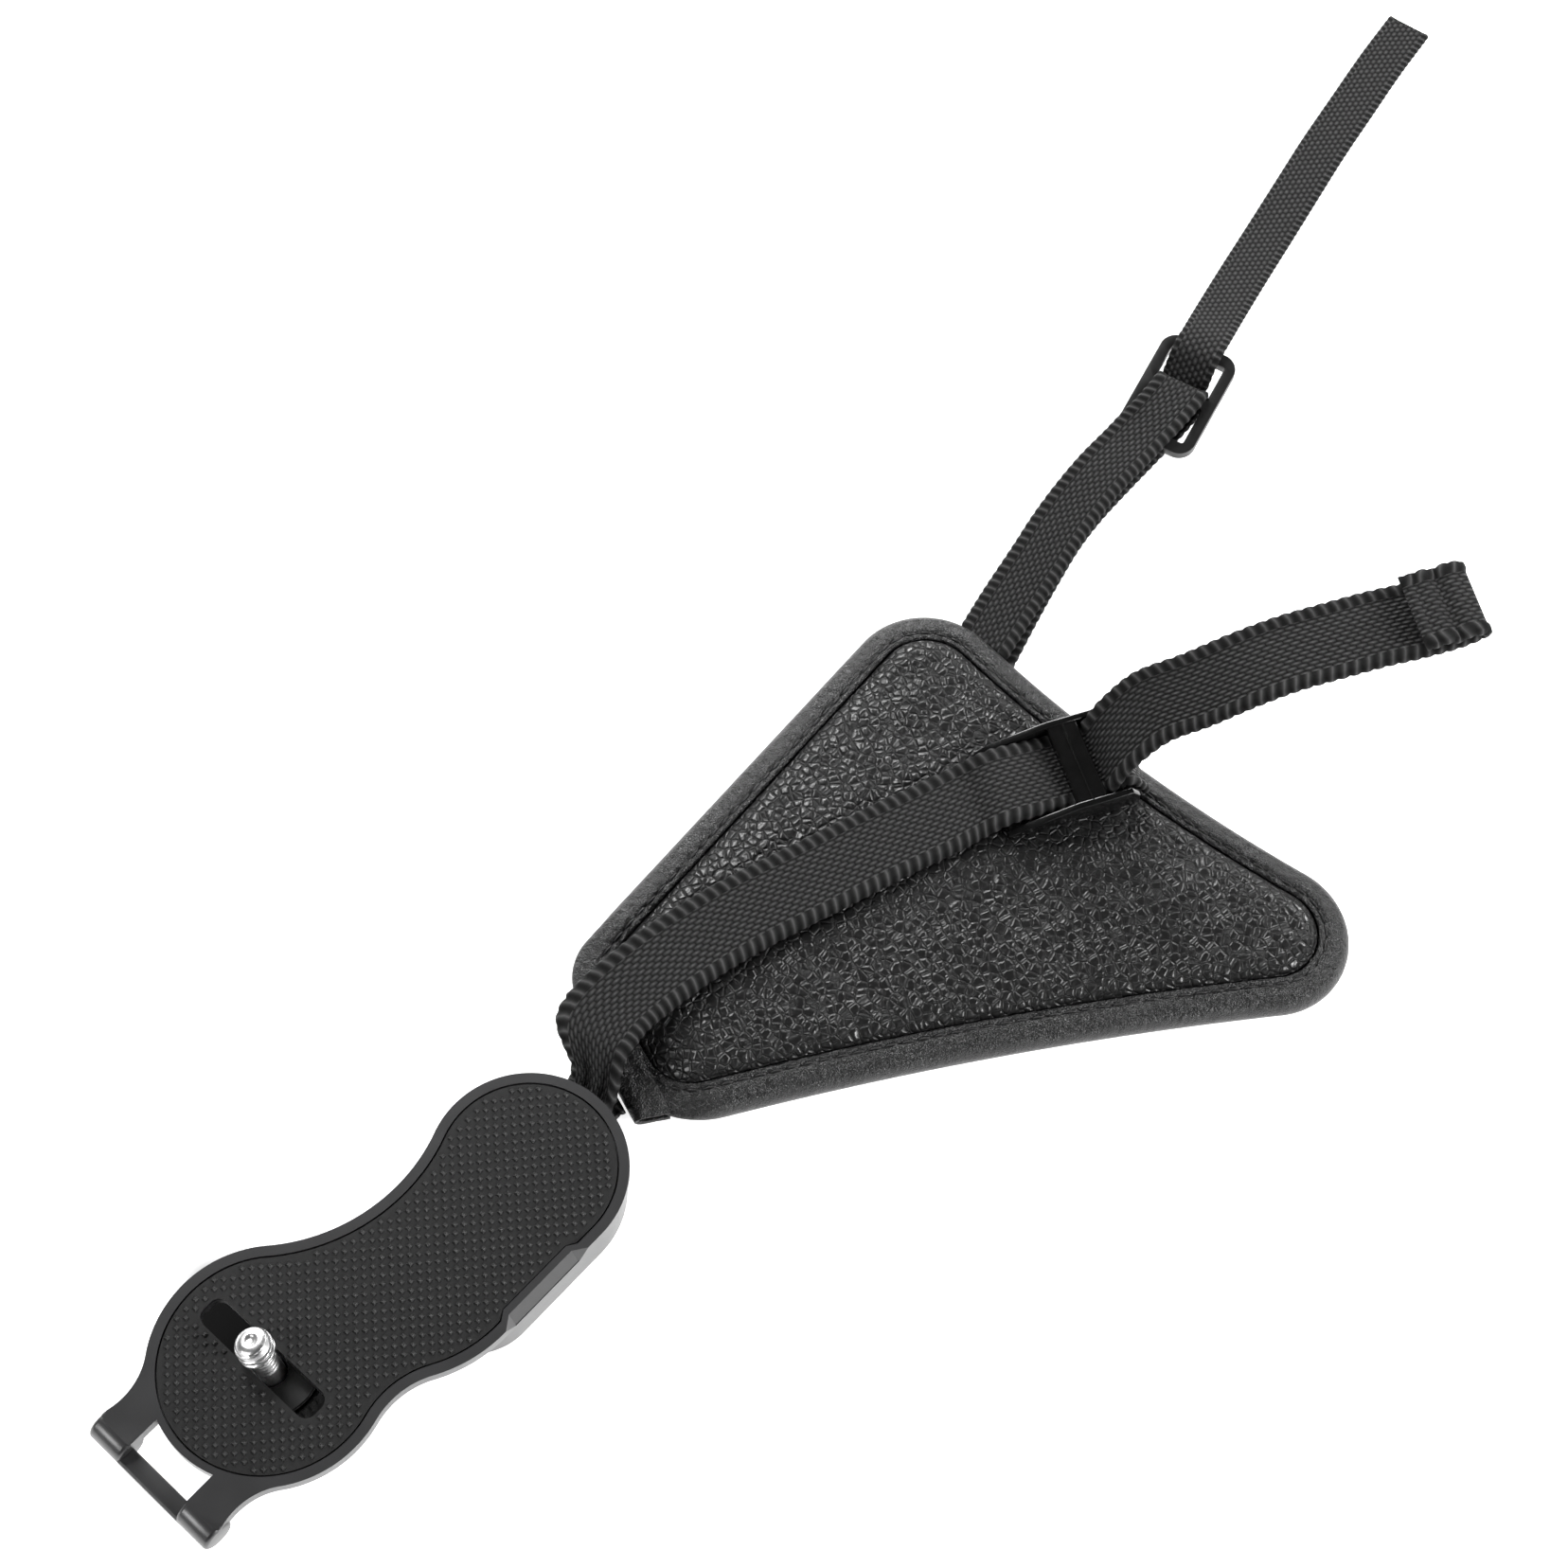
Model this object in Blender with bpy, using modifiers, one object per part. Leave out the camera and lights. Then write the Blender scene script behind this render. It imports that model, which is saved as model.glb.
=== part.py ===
"""Camera hand grip strap: base plate with a captive camera screw, padded leather
grip, fifteen millimetre grip strap with a ladder lock, and a lug strap with a slider.

Units are metres, +Z is up. The origin lies on the rubber seat, midway between the
two lobes of the base plate, and +X runs from the strap bar to the small lobe.
"""

import math

import bmesh
import bpy
from mathutils import Matrix, Vector

MM = 0.001
SEAT_GAP = 0.3 * MM          # clearance between a piece and what it rests on

# Base plate
LOBE_PITCH = 53.2 * MM       # distance between the lobe centres along X
LOBE_SHIFT = 7.5 * MM        # sideways step between the lobe centres
BIG_LOBE_R = 20.4 * MM
SMALL_LOBE_R = 17.4 * MM
WAIST_R = 32.0 * MM          # hollow of the deep waist
LOW_WAIST_R = 15.0 * MM      # hollow of the shallow waist
SHOULDER_R = 26.0 * MM       # shoulder where the straight side begins
SHOULDER_X = 3.5 * MM
RIM_DROP = 0.3 * MM          # rim lies this far below the rubber
FLANGE_T = 2.5 * MM
RIM_W = 1.8 * MM             # width of the rim round the rubber
RUBBER_T = 0.9 * MM
NOTCH_X = (6.0 * MM, 21.0 * MM)
NOTCH_DEPTH = 1.7 * MM
NOTCH_RUN = 2.4 * MM         # length of the slant at each end of the notch
NOTCH_RUBBER = 1.15 * MM     # how far the rubber steps back behind the notch
BOSS_H = 8.8 * MM            # boss below the flange
BOSS_INSET = 0.5 * MM
BOSS_TAIL_R = 11.6 * MM
BOSS_TAIL_X = 7.6 * MM

# Ears and strap bar at the end of the big lobe
EAR_SPAN = 28.0 * MM
EAR_R = 2.9 * MM
EAR_X = -51.2 * MM
EAR_FILLET_R = 12.0 * MM
LOOP_W = 13.4 * MM           # length of the strap slot
LOOP_GAP = 4.3 * MM          # clear width of the strap slot
BAR_W = 3.4 * MM
BAR_T = 2.4 * MM
BAR_DROP = 2.2 * MM

# Camera screw, wheel and washer
SLOT_L = 26.4 * MM
NECK_D = 4.9 * MM
NECK_PLAY = 0.5 * MM         # slot width beyond the neck
SLOT_Y = 5.35 * MM
THREAD_D = 6.35 * MM
THREAD_L = 4.4 * MM
SCREW_LEAN = math.radians(16.0)
SCREW_Y = 5.2 * MM           # where the leaning screw crosses the pivot height
PIVOT_DROP = 1.5 * MM
SHOULDER_UP = 2.75 * MM      # pivot to the underside of the thread
WASHER_DROP = 4.35 * MM      # pivot to the top of the washer
WASHER_D = 17.0 * MM
WASHER_T = 0.5 * MM
WHEEL_D = 18.6 * MM
WHEEL_T = 2.6 * MM
WHEEL_TEETH = 36
TOOTH_DEPTH = 0.45 * MM
COIN_SLOT = (9.0 * MM, 1.6 * MM, 0.9 * MM)

# Tripod socket in the boss
SOCKET_BORE_D = 6.5 * MM
SOCKET_WALL = 1.7 * MM
SOCKET_DEPTH = 7.6 * MM
SOCKET_FLANGE = 1.2 * MM
SOCKET_X = 14.5 * MM

# Strap window in the end of the boss
GRIP_W = 15.0 * MM           # grip strap webbing
GRIP_T = 1.3 * MM
GATHER_W = 9.6 * MM          # width of the strap where it is gathered in the window
GATHER_LEAD = 2.0 * MM       # the strap stays gathered this far past the plate's end
GATHER_RUN = 8.0 * MM        # length over which it spreads again
WINDOW_SIDE = 0.6 * MM       # room beside the strap in the window
WINDOW_BAR_R = 1.3 * MM
WINDOW_BAR_INSET = 5.8 * MM  # bar centre behind the end of the small lobe
WINDOW_Y = -1.4 * MM

# Pad
PAD_GAP = 3.0 * MM           # from the plate's end to the corner strip
PAD_CROWN = 10.0 * MM        # height of the crown above the table
PAD_RIM_H = 6.5 * MM         # height of the bound edge
BINDING_W = 6.0 * MM
LEATHER_T = 0.9 * MM
PINCH = 0.42                 # height left where the edge is pinched for the strip
PINCH_FULL = 7.0 * MM
PINCH_END = 16.0 * MM
FOAM_BACK = 9.0 * MM         # foam stops this far short of the pinched edge

# Leather strip over the cut corner
STRIP_DIR = math.radians(70.0)
STRIP_L = 27.5 * MM
STRIP_W = 6.3 * MM
STRIP_H = 5.2 * MM
STRIP_SKEW = 0.28
STRAP_SEAM = 8.4 * MM        # middle of the grip strap's seam, along the strip

# Ladder lock
LOCK_DIR = math.radians(-29.5)
LOCK_L = 25.6 * MM
LOCK_H = 4.8 * MM
LOCK_WALL = 1.3 * MM
LOCK_SIDE = 0.6 * MM         # play beside the strap
LOCK_SHIFT = 0.3 * MM        # the strap lies this far off the middle of the lock
LOCK_BAR = (13.6 * MM, 19.3 * MM)
LOCK_RAMP_END = 13.4 * MM    # the side walls reach their full height here
LOCK_BAR_Z = (2.9 * MM, 4.7 * MM)
LOCK_LOW_BAR = (0.3 * MM, 3.1 * MM)
LOCK_LOW_BAR_H = 1.4 * MM
LOCK_PIN_U = 24.4 * MM
LOCK_PIN_W = 1.2 * MM
LOCK_PIN_R = 0.9 * MM
TAB_W = 13.0 * MM
TAB_T = 1.0 * MM

# Folded end of the grip strap
STOP_GAP = 0.3 * MM
STOP_FLAP = 10.6 * MM
STOP_RISE = 0.8 * MM         # the stitched flap bulges by this much

# Lug strap, tail and slider
LUG_W = 11.0 * MM
LUG_T = 1.1 * MM
TAIL_W = 9.6 * MM
TAIL_T = 1.0 * MM
SLIDER_DIR = math.radians(13.0)
SLIDER_PITCH = math.radians(8.0)
SLIDER_L = 24.6 * MM
SLIDER_RAIL = 2.3 * MM
SLIDER_PLAY = 0.35 * MM
SLIDER_BAR = 2.2 * MM
SLIDER_T = 2.2 * MM
SLIDER_CORNER_R = 3.4 * MM

# Sizes that follow from the ones above
BIG = (-LOBE_PITCH / 2, LOBE_SHIFT / 2)
SMALL = (LOBE_PITCH / 2, -LOBE_SHIFT / 2)
SIDE_Y = SMALL[1] - SMALL_LOBE_R
FLANGE_TOP = -RIM_DROP
FLANGE_LOW = FLANGE_TOP - FLANGE_T
TABLE = FLANGE_LOW - BOSS_H
LOBE_END = SMALL[0] + SMALL_LOBE_R
WINDOW_BAR_X = LOBE_END - WINDOW_BAR_INSET
LOOP_R = WINDOW_BAR_R + SEAT_GAP + 0.1 * MM + GRIP_T / 2
WINDOW_Z = FLANGE_LOW - 0.8 * MM - SEAT_GAP - GRIP_T / 2 - LOOP_R
LOCK_BASE = TABLE + PAD_CROWN + SEAT_GAP
JOINT_X = LOBE_END + PAD_GAP

# Places of the soft pieces; every X is measured from the joint between plate and pad
STRIP_START = (JOINT_X, -9.3 * MM)
PAD_CORNERS = [
    (JOINT_X + 19.6 * MM, -6.1 * MM, 16.0 * MM),
    (JOINT_X + 104.2 * MM, -69.6 * MM, 15.0 * MM),
    (JOINT_X + 101.3 * MM, 9.9 * MM, 15.5 * MM),
    (JOINT_X + 20.2 * MM, 10.0 * MM, 11.0 * MM),
]
PAD_SIDES = [700.0 * MM, 300.0 * MM, 0.0, 0.0]
PAD_MIDDLE = (JOINT_X + 75.0 * MM, -18.0 * MM)
LOCK_AT = (JOINT_X + 88.9 * MM, -15.75 * MM)
SLIDER_AT = (JOINT_X + 187.2 * MM, 16.8 * MM, -7.35 * MM)

# Stops of the straps: X from the joint, Y, height above what carries them and the
# plan angle of the width, in millimetres and degrees
OVER_PAD = [(-0.1, 0.0, -2.3, 98), (2.0, 2.4, -0.5, 108), (4.4, 4.6, 0.45, 110), (8.2, 5.9, 0.4, 103),
            (13.0, 6.2, 0.2, 96), (19.0, 5.7, 0.1, 86), (28.0, 4.4, 0.0, 79), (38.0, 2.0, 0.0, 75),
            (48.3, -1.2, 0.0, 72), (59.0, -4.8, 0.0, 71), (70.0, -8.4, 0.0, 70), (79.0, -11.7, 0.1, 68)]
FREE_END = [(116.9, -28.5, 12.4, 62), (122.9, -33.7, 17.6, 58), (129.0, -38.2, 22.0, 56), (135.7, -42.8, 25.1, 54),
            (142.2, -47.6, 27.2, 54), (148.8, -52.3, 28.7, 54), (153.8, -56.1, 29.7, 54), (159.4, -59.7, 30.5, 55),
            (162.7, -61.4, 31.1, 56)]
LUG_UPPER = [(117.2, 8.8, 2.6, 91), (127.0, 10.9, 2.7, 99), (138.5, 13.1, 2.9, 99),
             (147.0, 14.8, 3.2, 98), (155.0, 15.9, 3.6, 95), (163.0, 16.5, 4.1, 93)]
LUG_LOWER = [(170.4, 16.6, 93), (163.0, 16.4, 93), (155.0, 16.0, 95), (147.0, 15.0, 98),
             (138.5, 13.1, 100), (127.0, 10.1, 99), (117.3, 7.2, 91)]
TAIL_RUN = [(209.5, 23.0, 5.0, 104), (222.5, 26.3, 2.6, 103), (235.0, 29.2, 1.1, 102), (249.0, 32.3, 0.5, 101),
            (262.0, 35.1, 0.2, 101), (276.1, 37.7, 0.0, 101), (289.5, 40.1, 0.0, 99), (302.7, 42.0, 0.0, 97)]
# Stops in the ladder lock: along it, aside and up, in millimetres
LOCK_THREAD = [(-3.6, 0.0, 0.95), (-1.2, 0.1, 1.95), (0.8, 0.2, 2.55), (3.2, 0.3, 2.6), (7.0, 0.3, 2.2), (12.0, 0.3, 1.6),
               (16.0, 0.3, 1.5), (18.6, 0.3, 1.6), (19.8, 0.3, 2.0), (20.6, 0.3, 2.9), (21.3, 0.3, 4.3), (22.6, 0.9, 6.1),
               (24.6, 1.6, 8.0)]
ARC_STEP = math.radians(9.0)


def clear_scene():
    """Remove every object so that the script can be run again."""
    for item in list(bpy.data.objects):
        bpy.data.objects.remove(item, do_unlink=True)


def collection(name):
    """Return a collection linked to the scene."""
    found = bpy.data.collections.get(name) or bpy.data.collections.new(name)
    if found.name not in bpy.context.scene.collection.children:
        bpy.context.scene.collection.children.link(found)
    return found


def material(name, colour, roughness, metallic=0.0):
    """Return a Principled material in one colour."""
    found = bpy.data.materials.new(name)
    found.use_nodes = True
    shader = found.node_tree.nodes["Principled BSDF"]
    shader.inputs["Base Color"].default_value = (*colour, 1.0)
    shader.inputs["Roughness"].default_value = roughness
    shader.inputs["Metallic"].default_value = metallic
    return found


def add_object(name, mesh, where):
    """Link a mesh as an object to a collection."""
    item = bpy.data.objects.new(name, mesh)
    where.objects.link(item)
    return item


def shade(item, angle=40.0):
    """Shade an object smooth with sharp edges above an angle."""
    item.data.shade_smooth()
    item.data.set_sharp_from_angle(angle=math.radians(angle))


def mesh_from(bm, name):
    """Turn a bmesh into a mesh and free it."""
    mesh = bpy.data.meshes.new(name)
    bm.normal_update()
    bm.to_mesh(mesh)
    bm.free()
    return mesh


def arc(centre, radius, start, end):
    """Points on an arc, both ends included."""
    count = max(2, math.ceil(abs(end - start) / ARC_STEP))
    points = []
    for step in range(count + 1):
        angle = start + (end - start) * step / count
        points.append((centre[0] + radius * math.cos(angle), centre[1] + radius * math.sin(angle)))
    return points


def side_between(first, second, hollow):
    """Directions in which a straight (0) or hollow side leaves one corner and meets the next."""
    dx, dy = second[0] - first[0], second[1] - first[1]
    reach = math.hypot(dx, dy)
    heading = math.atan2(dy, dx)
    if hollow == 0.0:
        normal = heading - math.acos((first[2] - second[2]) / reach)
        return normal, normal, None
    near, far = first[2] + hollow, second[2] + hollow
    swing = math.acos((near ** 2 + reach ** 2 - far ** 2) / (2 * near * reach))
    leave = heading - swing
    middle = (first[0] + near * math.cos(leave), first[1] + near * math.sin(leave))
    meet = math.atan2(middle[1] - second[1], middle[0] - second[0])
    return leave, meet, middle


def outline(corners, sides, inset=0.0, pieces=1):
    """Closed outline, counter-clockwise: corner circles joined by straight or hollow sides.

    The same number of points comes back for every inset, so two outlines can be lofted.
    """
    count = len(corners)
    joints = [side_between(corners[i], corners[(i + 1) % count], sides[i]) for i in range(count)]
    points = []
    for i, (x, y, radius) in enumerate(corners):
        start, end = joints[i - 1][1], joints[i][0]
        while end < start:
            end += math.tau
        points += arc((x, y), radius - inset, start, end)
        leave, meet, middle = joints[i]
        follow = corners[(i + 1) % count]
        if middle is None:
            a = points[-1]
            b = (follow[0] + (follow[2] - inset) * math.cos(meet),
                 follow[1] + (follow[2] - inset) * math.sin(meet))
            for step in range(1, pieces):
                t = step / pieces
                points.append((a[0] + (b[0] - a[0]) * t, a[1] + (b[1] - a[1]) * t))
        else:
            begin, finish = leave + math.pi, meet + math.pi
            while finish > begin:
                finish -= math.tau
            points += arc(middle, sides[i] + inset, begin, finish)[1:-1]
    return points


def prism(name, points, low, high, where):
    """Flat outline filled and given a height, as a closed mesh object."""
    curve = bpy.data.curves.new(name, "CURVE")
    curve.dimensions = "2D"
    curve.fill_mode = "BOTH"
    curve.extrude = (high - low) / 2
    spline = curve.splines.new("POLY")
    spline.points.add(len(points) - 1)
    for target, (x, y) in zip(spline.points, points):
        target.co = (x, y, 0.0, 1.0)
    spline.use_cyclic_u = True
    holder = bpy.data.objects.new(name + "_outline", curve)
    where.objects.link(holder)
    bpy.context.view_layer.update()
    mesh = bpy.data.meshes.new_from_object(holder.evaluated_get(bpy.context.evaluated_depsgraph_get()))
    bpy.data.objects.remove(holder, do_unlink=True)
    bm = bmesh.new()
    bm.from_mesh(mesh)
    bmesh.ops.remove_doubles(bm, verts=bm.verts, dist=0.00001)
    bmesh.ops.translate(bm, verts=bm.verts, vec=(0.0, 0.0, (low + high) / 2))
    bmesh.ops.recalc_face_normals(bm, faces=bm.faces)
    bpy.data.meshes.remove(mesh)
    return add_object(name, mesh_from(bm, name), where)


def box(name, low, high, where):
    """Box between two corners."""
    bm = bmesh.new()
    bmesh.ops.create_cube(bm, size=1.0)
    size = Vector(high) - Vector(low)
    bmesh.ops.scale(bm, verts=bm.verts, vec=size)
    bmesh.ops.translate(bm, verts=bm.verts, vec=(Vector(low) + Vector(high)) / 2)
    return add_object(name, mesh_from(bm, name), where)


def rod(name, radius, low, high, where, sides=28, rounding=0.0):
    """Rod along Y between two values of Y, centred on the given point."""
    bm = bmesh.new()
    length = high[1] - low[1]
    bmesh.ops.create_cone(bm, cap_ends=True, segments=sides, radius1=radius, radius2=radius, depth=length)
    if rounding > 0.0:
        rims = [edge for edge in bm.edges if any(len(face.verts) > 4 for face in edge.link_faces)]
        bmesh.ops.bevel(bm, geom=rims, offset=rounding, segments=3, affect="EDGES", profile=0.5)
    bmesh.ops.rotate(bm, verts=bm.verts, cent=(0, 0, 0), matrix=Matrix.Rotation(math.pi / 2, 3, "X"))
    bmesh.ops.translate(bm, verts=bm.verts, vec=(Vector(low) + Vector(high)) / 2)
    return add_object(name, mesh_from(bm, name), where)


def boolean(item, other, operation):
    """Add a Boolean with another object."""
    modifier = item.modifiers.new(other.name, "BOOLEAN")
    modifier.operation = operation
    modifier.solver = "EXACT"
    modifier.object = other
    return modifier


def bevel(item, width, segments=2, angle=35.0):
    """Add a bevel on the sharp edges."""
    modifier = item.modifiers.new("edges", "BEVEL")
    modifier.width = width
    modifier.segments = segments
    modifier.limit_method = "ANGLE"
    modifier.angle_limit = math.radians(angle)
    return modifier


def turned(name, profile, where, steps=40):
    """Turned piece from a half profile that runs from the top to the bottom on its outer side."""
    mesh = bpy.data.meshes.new(name)
    mesh.from_pydata([(x, 0.0, z) for x, z in profile], [(i, i + 1) for i in range(len(profile) - 1)], [])
    item = add_object(name, mesh, where)
    screw = item.modifiers.new("turn", "SCREW")
    screw.axis = "Z"
    screw.steps = steps
    screw.render_steps = steps
    screw.use_merge_vertices = True
    screw.merge_threshold = 0.00001
    screw.use_smooth_shade = True
    return item


def seat_outline(inset):
    """Outline of the rubber seat: both lobes and the straight side, stepped back at the notch."""
    shoulder = (SHOULDER_X, SIDE_Y + SHOULDER_R, SHOULDER_R)
    corners = [(*SMALL, SMALL_LOBE_R), (*BIG, BIG_LOBE_R), shoulder]
    points = outline(corners, [WAIST_R, LOW_WAIST_R, 0.0], inset)
    side, back = SIDE_Y + inset, SIDE_Y + inset + NOTCH_RUBBER
    left, right = NOTCH_X
    slant = NOTCH_RUN * 0.7
    return points + [(left - slant, side), (left, back), (right, back), (right + slant, side)]


def flange_outline():
    """Outline of the flange, with the two ears at the end of the big lobe."""
    ear_r = 0.8 * MM
    top = (EAR_X + ear_r, BIG[1] + EAR_SPAN / 2 - ear_r, ear_r)
    low = (EAR_X + ear_r, BIG[1] - EAR_SPAN / 2 + ear_r, ear_r)
    shoulder = (SHOULDER_X, SIDE_Y + SHOULDER_R, SHOULDER_R)
    big = (*BIG, BIG_LOBE_R)
    corners = [(*SMALL, SMALL_LOBE_R), big, top, low, big, shoulder]
    return outline(corners, [WAIST_R, EAR_FILLET_R, 0.0, EAR_FILLET_R, LOW_WAIST_R, 0.0])


def loop_slot_outline():
    """Strap slot between the bar and the big lobe, hollow on the lobe's side."""
    bar_edge = EAR_X - EAR_R + BAR_W
    radius = BIG[0] - bar_edge - LOOP_GAP
    half = LOOP_W / 2
    points = [(bar_edge, BIG[1] - half)]
    for step in range(9):
        y = -half + LOOP_W * step / 8
        points.append((BIG[0] - math.sqrt(radius ** 2 - y ** 2), BIG[1] + y))
    points.append((bar_edge, BIG[1] + half))
    return points


def screw_slot_outline(margin=0.0):
    """Slot in which the screw's neck slides, with small rounded corners."""
    half_w = (NECK_D + NECK_PLAY) / 2 + margin
    half_l = SLOT_L / 2 + margin
    r = 1.2 * MM
    x0, y0 = BIG[0], SLOT_Y
    corners = [(x0 + half_w - r, y0 - half_l + r, r), (x0 + half_w - r, y0 + half_l - r, r),
               (x0 - half_w + r, y0 + half_l - r, r), (x0 - half_w + r, y0 - half_l + r, r)]
    return outline(corners, [0.0] * 4)


def make_plate(parts, cutters, look):
    """Base plate: flange with ears and strap bar, boss, seat recess, slots, notch and window."""
    plate = prism("plate_body", flange_outline(), FLANGE_LOW, FLANGE_TOP, parts)
    bevel(plate, 0.35 * MM, 2)

    boss_tail = (BOSS_TAIL_X, SIDE_Y + BOSS_INSET + BOSS_TAIL_R, BOSS_TAIL_R)
    boss_head = (SMALL[0], SMALL[1], SMALL_LOBE_R - BOSS_INSET)
    boss = prism("boss", outline([boss_head, boss_tail], [0.0, 0.0]), TABLE, FLANGE_LOW + 0.5 * MM, cutters)
    bevel(boss, 0.5 * MM, 2)
    boolean(plate, boss, "UNION")

    half = EAR_SPAN / 2
    inner = LOOP_W / 2
    ear_z = FLANGE_TOP - EAR_R
    for tag, start, end in (("ear_top", inner, half), ("ear_low", -half, -inner)):
        ear = rod(tag, EAR_R, (EAR_X, BIG[1] + start, ear_z), (EAR_X, BIG[1] + end, ear_z), cutters, 32)
        boolean(plate, ear, "UNION")
    bar_high = FLANGE_TOP - BAR_DROP
    bar_low = (EAR_X - EAR_R, BIG[1] - inner - MM, bar_high - BAR_T)
    bar = box("strap_bar", bar_low, (EAR_X - EAR_R + BAR_W, BIG[1] + inner + MM, bar_high), cutters)
    bevel(bar, 0.6 * MM, 2)

    slot = prism("loop_slot", loop_slot_outline(), FLANGE_LOW - MM, MM, cutters)
    boolean(plate, slot, "DIFFERENCE")
    step_low = (EAR_X - EAR_R - MM, BIG[1] - inner, FLANGE_LOW - EAR_R - MM)
    step = box("bar_step", step_low, (EAR_X - EAR_R + BAR_W + 0.2 * MM, BIG[1] + inner, MM), cutters)
    boolean(plate, step, "DIFFERENCE")
    boolean(plate, bar, "UNION")

    recess = prism("seat_recess", seat_outline(RIM_W), -RUBBER_T - SEAT_GAP, MM, cutters)
    boolean(plate, recess, "DIFFERENCE")
    screw_slot = prism("screw_slot", screw_slot_outline(), FLANGE_LOW - MM, MM, cutters)
    boolean(plate, screw_slot, "DIFFERENCE")

    # The notch is a slanted cut: its inner face runs out to the side wall at the flange's foot.
    outer = NOTCH_DEPTH * 0.8
    run = NOTCH_RUN * (NOTCH_DEPTH + outer) / NOTCH_DEPTH
    cut = [(NOTCH_X[0] - run, SIDE_Y - outer), (NOTCH_X[1] + run, SIDE_Y - outer),
           (NOTCH_X[1], SIDE_Y + NOTCH_DEPTH), (NOTCH_X[0], SIDE_Y + NOTCH_DEPTH)]
    notch = prism("side_notch", cut, -FLANGE_T + 0.1 * MM, 0.6 * MM, cutters)
    slope = NOTCH_DEPTH / (FLANGE_T - 0.2 * MM)
    for vertex in notch.data.vertices:
        vertex.co.y += (vertex.co.z - FLANGE_TOP) * slope
    boolean(plate, notch, "DIFFERENCE")

    reach = GATHER_W / 2 + WINDOW_SIDE
    lift = LOOP_R + GRIP_T / 2 + SEAT_GAP
    depth = WINDOW_BAR_X - lift - 0.2 * MM
    window_low = (depth, WINDOW_Y - reach, WINDOW_Z - lift)
    window = box("strap_window", window_low, (LOBE_END + 2 * MM, WINDOW_Y + reach, WINDOW_Z + lift), cutters)
    boolean(plate, window, "DIFFERENCE")
    pin = rod("window_bar", WINDOW_BAR_R, (WINDOW_BAR_X, WINDOW_Y - reach - 0.8 * MM, WINDOW_Z),
              (WINDOW_BAR_X, WINDOW_Y + reach + 0.8 * MM, WINDOW_Z), cutters, 20)
    boolean(plate, pin, "UNION")

    well = SOCKET_BORE_D / 2 + SOCKET_WALL + SEAT_GAP
    bm = bmesh.new()
    bmesh.ops.create_cone(bm, cap_ends=True, segments=36, radius1=well, radius2=well, depth=2 * SOCKET_DEPTH)
    bmesh.ops.translate(bm, verts=bm.verts, vec=(SOCKET_X, SMALL[1], TABLE))
    hole = add_object("socket_well", mesh_from(bm, "socket_well"), cutters)
    boolean(plate, hole, "DIFFERENCE")
    plate.data.materials.append(look)
    shade(plate)
    return plate


def make_rubber(parts, cutters, look):
    """Rubber seat laid in the recess, with the screw slot through it."""
    rubber = prism("rubber_seat", seat_outline(RIM_W + SEAT_GAP), -RUBBER_T, 0.0, parts)
    opening = prism("rubber_slot", screw_slot_outline(), -2 * MM, MM, cutters)
    boolean(rubber, opening, "DIFFERENCE")
    rubber.data.materials.append(look)
    return rubber


def screw_frame():
    """Placement of the leaning screw: origin on its pivot, Z along its axis."""
    pivot = Vector((BIG[0], SCREW_Y, -PIVOT_DROP))
    return Matrix.Translation(pivot) @ Matrix.Rotation(-SCREW_LEAN, 4, "X")


def make_screw(parts, look):
    """Camera screw: rounded tip, thread, sliding neck and a shank in the wheel."""
    tip = SHOULDER_UP + THREAD_L
    r = THREAD_D / 2
    neck = NECK_D / 2
    foot = -(WASHER_DROP + WASHER_T + SEAT_GAP + WHEEL_T - 0.9 * MM)
    profile = [(0.0, tip), (r * 0.45, tip - 0.05 * MM), (r * 0.72, tip - 0.35 * MM), (r * 0.93, tip - 0.95 * MM),
               (r, tip - 1.6 * MM), (r, SHOULDER_UP + 0.35 * MM), (neck, SHOULDER_UP), (neck, foot), (0.0, foot)]
    screw = turned("camera_screw", profile, parts, 40)
    screw.matrix_world = screw_frame()
    screw.data.materials.append(look)
    shade(screw)
    return screw


def make_washer(parts, look):
    """Flat washer between the wheel and the underside of the flange."""
    bore = NECK_D / 2 + 0.3 * MM
    top, low = -WASHER_DROP, -WASHER_DROP - WASHER_T
    rim = WASHER_D / 2
    profile = [(bore, top), (rim - 0.15 * MM, top), (rim, top - 0.15 * MM), (rim, low), (bore, low), (bore, top)]
    washer = turned("wheel_washer", profile, parts, 44)
    washer.matrix_world = screw_frame()
    washer.data.materials.append(look)
    shade(washer)
    return washer


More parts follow.
